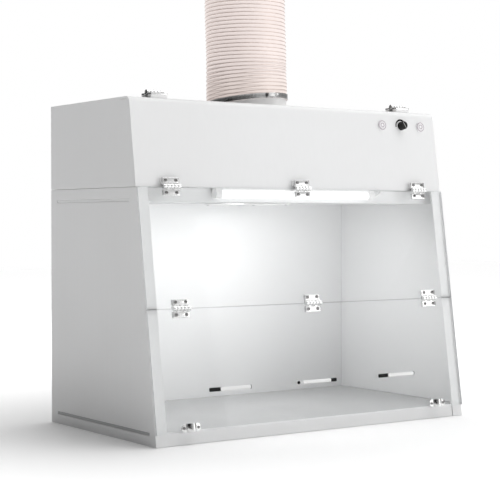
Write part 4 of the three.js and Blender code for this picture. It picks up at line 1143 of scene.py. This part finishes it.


# each bar's rod and its black ends, painted black for the dark reflection and shade they show: left end, length,
# width, thickness and rise, then the rod's taper
OUTER_BAR = ([(-27, 76, 7.6, 5.0, 5.5, 0.12)],
             [(-50, 16, 8.0, 5.6, 4.4), (-36, 15, 8.0, 5.8, 5.0), (46.6, 3, 8.0, 6.4, 4.6)])
CENTRE_BAR = ([(-38, 74, 7.0, 4.6, 5.4)], [(-50, 5, 6.6, 6.4, 4.2), (34, 16, 7.6, 5.0, 5.4)])
bar_feet = [block(x0, x0 + 9, -3.6, 3.6, 0, 4.5, 1.5, 0.6) for x0 in (-50, 41)]
for place in ("left", "centre", "right"):
    x = centre("grip_bar_" + place)[0]
    rods, dark_ends = ([shifted(bar_section(*sizes), start) for start, *sizes in row]
                     for row in (CENTRE_BAR if place == "centre" else OUTER_BAR))
    piece("grip_bar_rod_" + place, [on_front(shell, x, BAR_U, SASH_FACE) for shell in rods + bar_feet],
          "white_moulded", "lower_sash", "grip_bar_" + place)
    # the bars' black ends: painted dark reflection and shade
    piece("grip_bar_sleeves_" + place, [on_front(shell, x, BAR_U, SASH_FACE) for shell in dark_ends],
          "painted_dark_ends", "lower_sash")


def loop_shell():
    """A strap along its centre line: flat ends, and an arch of radius 10.25 between them. Its half
    width is that of a stadium, sqrt(b^2 - e^2) within b of each end."""
    end, wide, thick, mid = 22.5, 8.75, LOOP_THICK, 10.25
    turn = np.linspace(np.pi, 0, 33)
    arch = np.stack([mid * np.cos(turn), mid * np.sin(turn)], -1)
    reach = end - (1 - np.cos(np.linspace(0, np.pi / 2, 14))) * (end - 12.4)
    left = np.stack([-reach, 0 * reach + thick / 2], -1)
    line = np.concatenate([left, arch[arch[:, 1] > thick / 2 + 0.4], left[::-1] * [-1, 1]])
    near = np.maximum(0, wide - (end - abs(line[:, 0])))
    half = np.sqrt(np.maximum(wide ** 2 - near ** 2, 0.04))
    along = np.gradient(line, axis=0)
    along /= np.linalg.norm(along, axis=1, keepdims=True)
    normal = np.stack([-along[:, 1], along[:, 0]], -1)
    section = rectangle(-1, 1, -1, 1, 0.35, 3)
    across = np.sign(section[:, 0]) * (half[:, None] - 0.9 * (1 - abs(section[:, 0])))
    lift = section[:, 1] * thick / 2
    x = line[:, :1] + normal[:, :1] * lift
    out = line[:, 1:] + normal[:, 1:] * lift
    return lofted(np.stack([x, across, np.maximum(out, 0)], -1))


for side in ("left", "right"):
    x = centre(side + "_lift_loop")[0]
    piece(side + "_loop_strap", on_front(loop_shell(), x, LOOP_U, SASH_FACE), "zinc_chrome",
          "lower_sash", side + "_lift_loop", 50)
    screws = heads([(-16.6, 0, LOOP_THICK), (16.6, 0, LOOP_THICK)], 3.0, 1.2)
    piece(side + "_loop_screws", [on_front(shell, x, LOOP_U, SASH_FACE) for shell in screws],
          "screw_steel", "lower_sash")


# ---------------------------------------------------------------- floor, light and surroundings
def make_floor(half=9.0, depth=0.0006):
    """A pale sweep just under the base, that glows more the further it is from the hood, and a little
    less on the right."""
    mesh = bpy.data.meshes.new("floor")
    corners = [(x * half, y * half, -depth) for x, y in ((-1, -1), (1, -1), (1, 1), (-1, 1))]
    mesh.from_pydata(corners, [], [(0, 1, 2, 3)])
    finish = plastic("studio_floor", grey(0.93), grey(0.92), 0.7, 0.8, 200.0, 0.02, 0.7)
    tree = finish.node_tree
    shader = next(n for n in tree.nodes if n.type == "BSDF_PRINCIPLED")
    place = tree.nodes.new("ShaderNodeTexCoord").outputs["Object"]
    away = add(tree, "ShaderNodeVectorMath", {"operation": "LENGTH"})
    feed(tree, away.inputs[0], place)
    glow = sum_of(tree, "MULTIPLY", between(tree, away.outputs["Value"], 0.45, 1.7, 0.09, 0.9),
                  between(tree, parted(tree, place)["X"], 0.5, 1.3, 1.0, 0.65))
    feed(tree, shader.inputs["Emission Color"], mixed(tree, glow, grey(0.0), grey(1.0)))
    shader.inputs["Emission Strength"].default_value = 1.0
    mesh.materials.append(finish)
    floor = bpy.data.objects.new("floor", mesh)
    bpy.context.scene.collection.objects.link(floor)


def softbox(name, place, aim, size, power):
    """A large area light turned to its aim."""
    data = bpy.data.lights.new(name, "AREA")
    data.shape = "RECTANGLE"
    data.size, data.size_y = size
    data.energy = power
    light = bpy.data.objects.new(name, data)
    light.location = place
    direction = np.array(aim, float) - np.array(place, float)
    tilt = math.atan2(math.hypot(direction[0], direction[1]), -direction[2])
    light.rotation_euler = (tilt, 0, -math.atan2(direction[0], direction[1]))
    bpy.context.scene.collection.objects.link(light)
    return light


make_floor()
softbox("top_light", (1.35, -0.3, 3.2), (0.8, 0.0, 0.0), (3.6, 4.2), 76.0)
softbox("key_light", (1.9, -2.3, 0.6), (0.35, -0.2, 0.2), (1.2, 1.2), 6.6)
chamber_light = softbox("chamber_light", (-0.04, -0.04, 0.466), (-0.04, 0.08, 0.0), (0.56, 0.16), 1.5)
chamber_light.visible_camera = False
chamber_light.visible_glossy = False
chamber_light.visible_transmission = False


def make_world():
    """Surroundings brightest towards the right front and back, by the x of the direction looked in,
    behind a white sweep."""
    world = bpy.data.worlds.new("studio")
    bpy.context.scene.world = world
    world.use_nodes = True
    tree = world.node_tree
    background = next(n for n in tree.nodes if n.type == "BACKGROUND")
    way = tree.nodes.new("ShaderNodeTexCoord").outputs["Generated"]
    side = parted(tree, way)["X"]
    rising = between(tree, side, -0.62, 0.5, 0.0, 1.0)
    falling = between(tree, side, 0.6, 0.95, 1.0, 0.4)
    glow = mixed(tree, sum_of(tree, "MULTIPLY", rising, falling), grey(0.03), grey(0.79))
    sweep = tree.nodes.new("ShaderNodeLightPath").outputs["Is Camera Ray"]
    feed(tree, background.inputs["Color"], mixed(tree, sweep, glow, grey(1.0)))
    background.inputs["Strength"].default_value = 1.0


make_world()
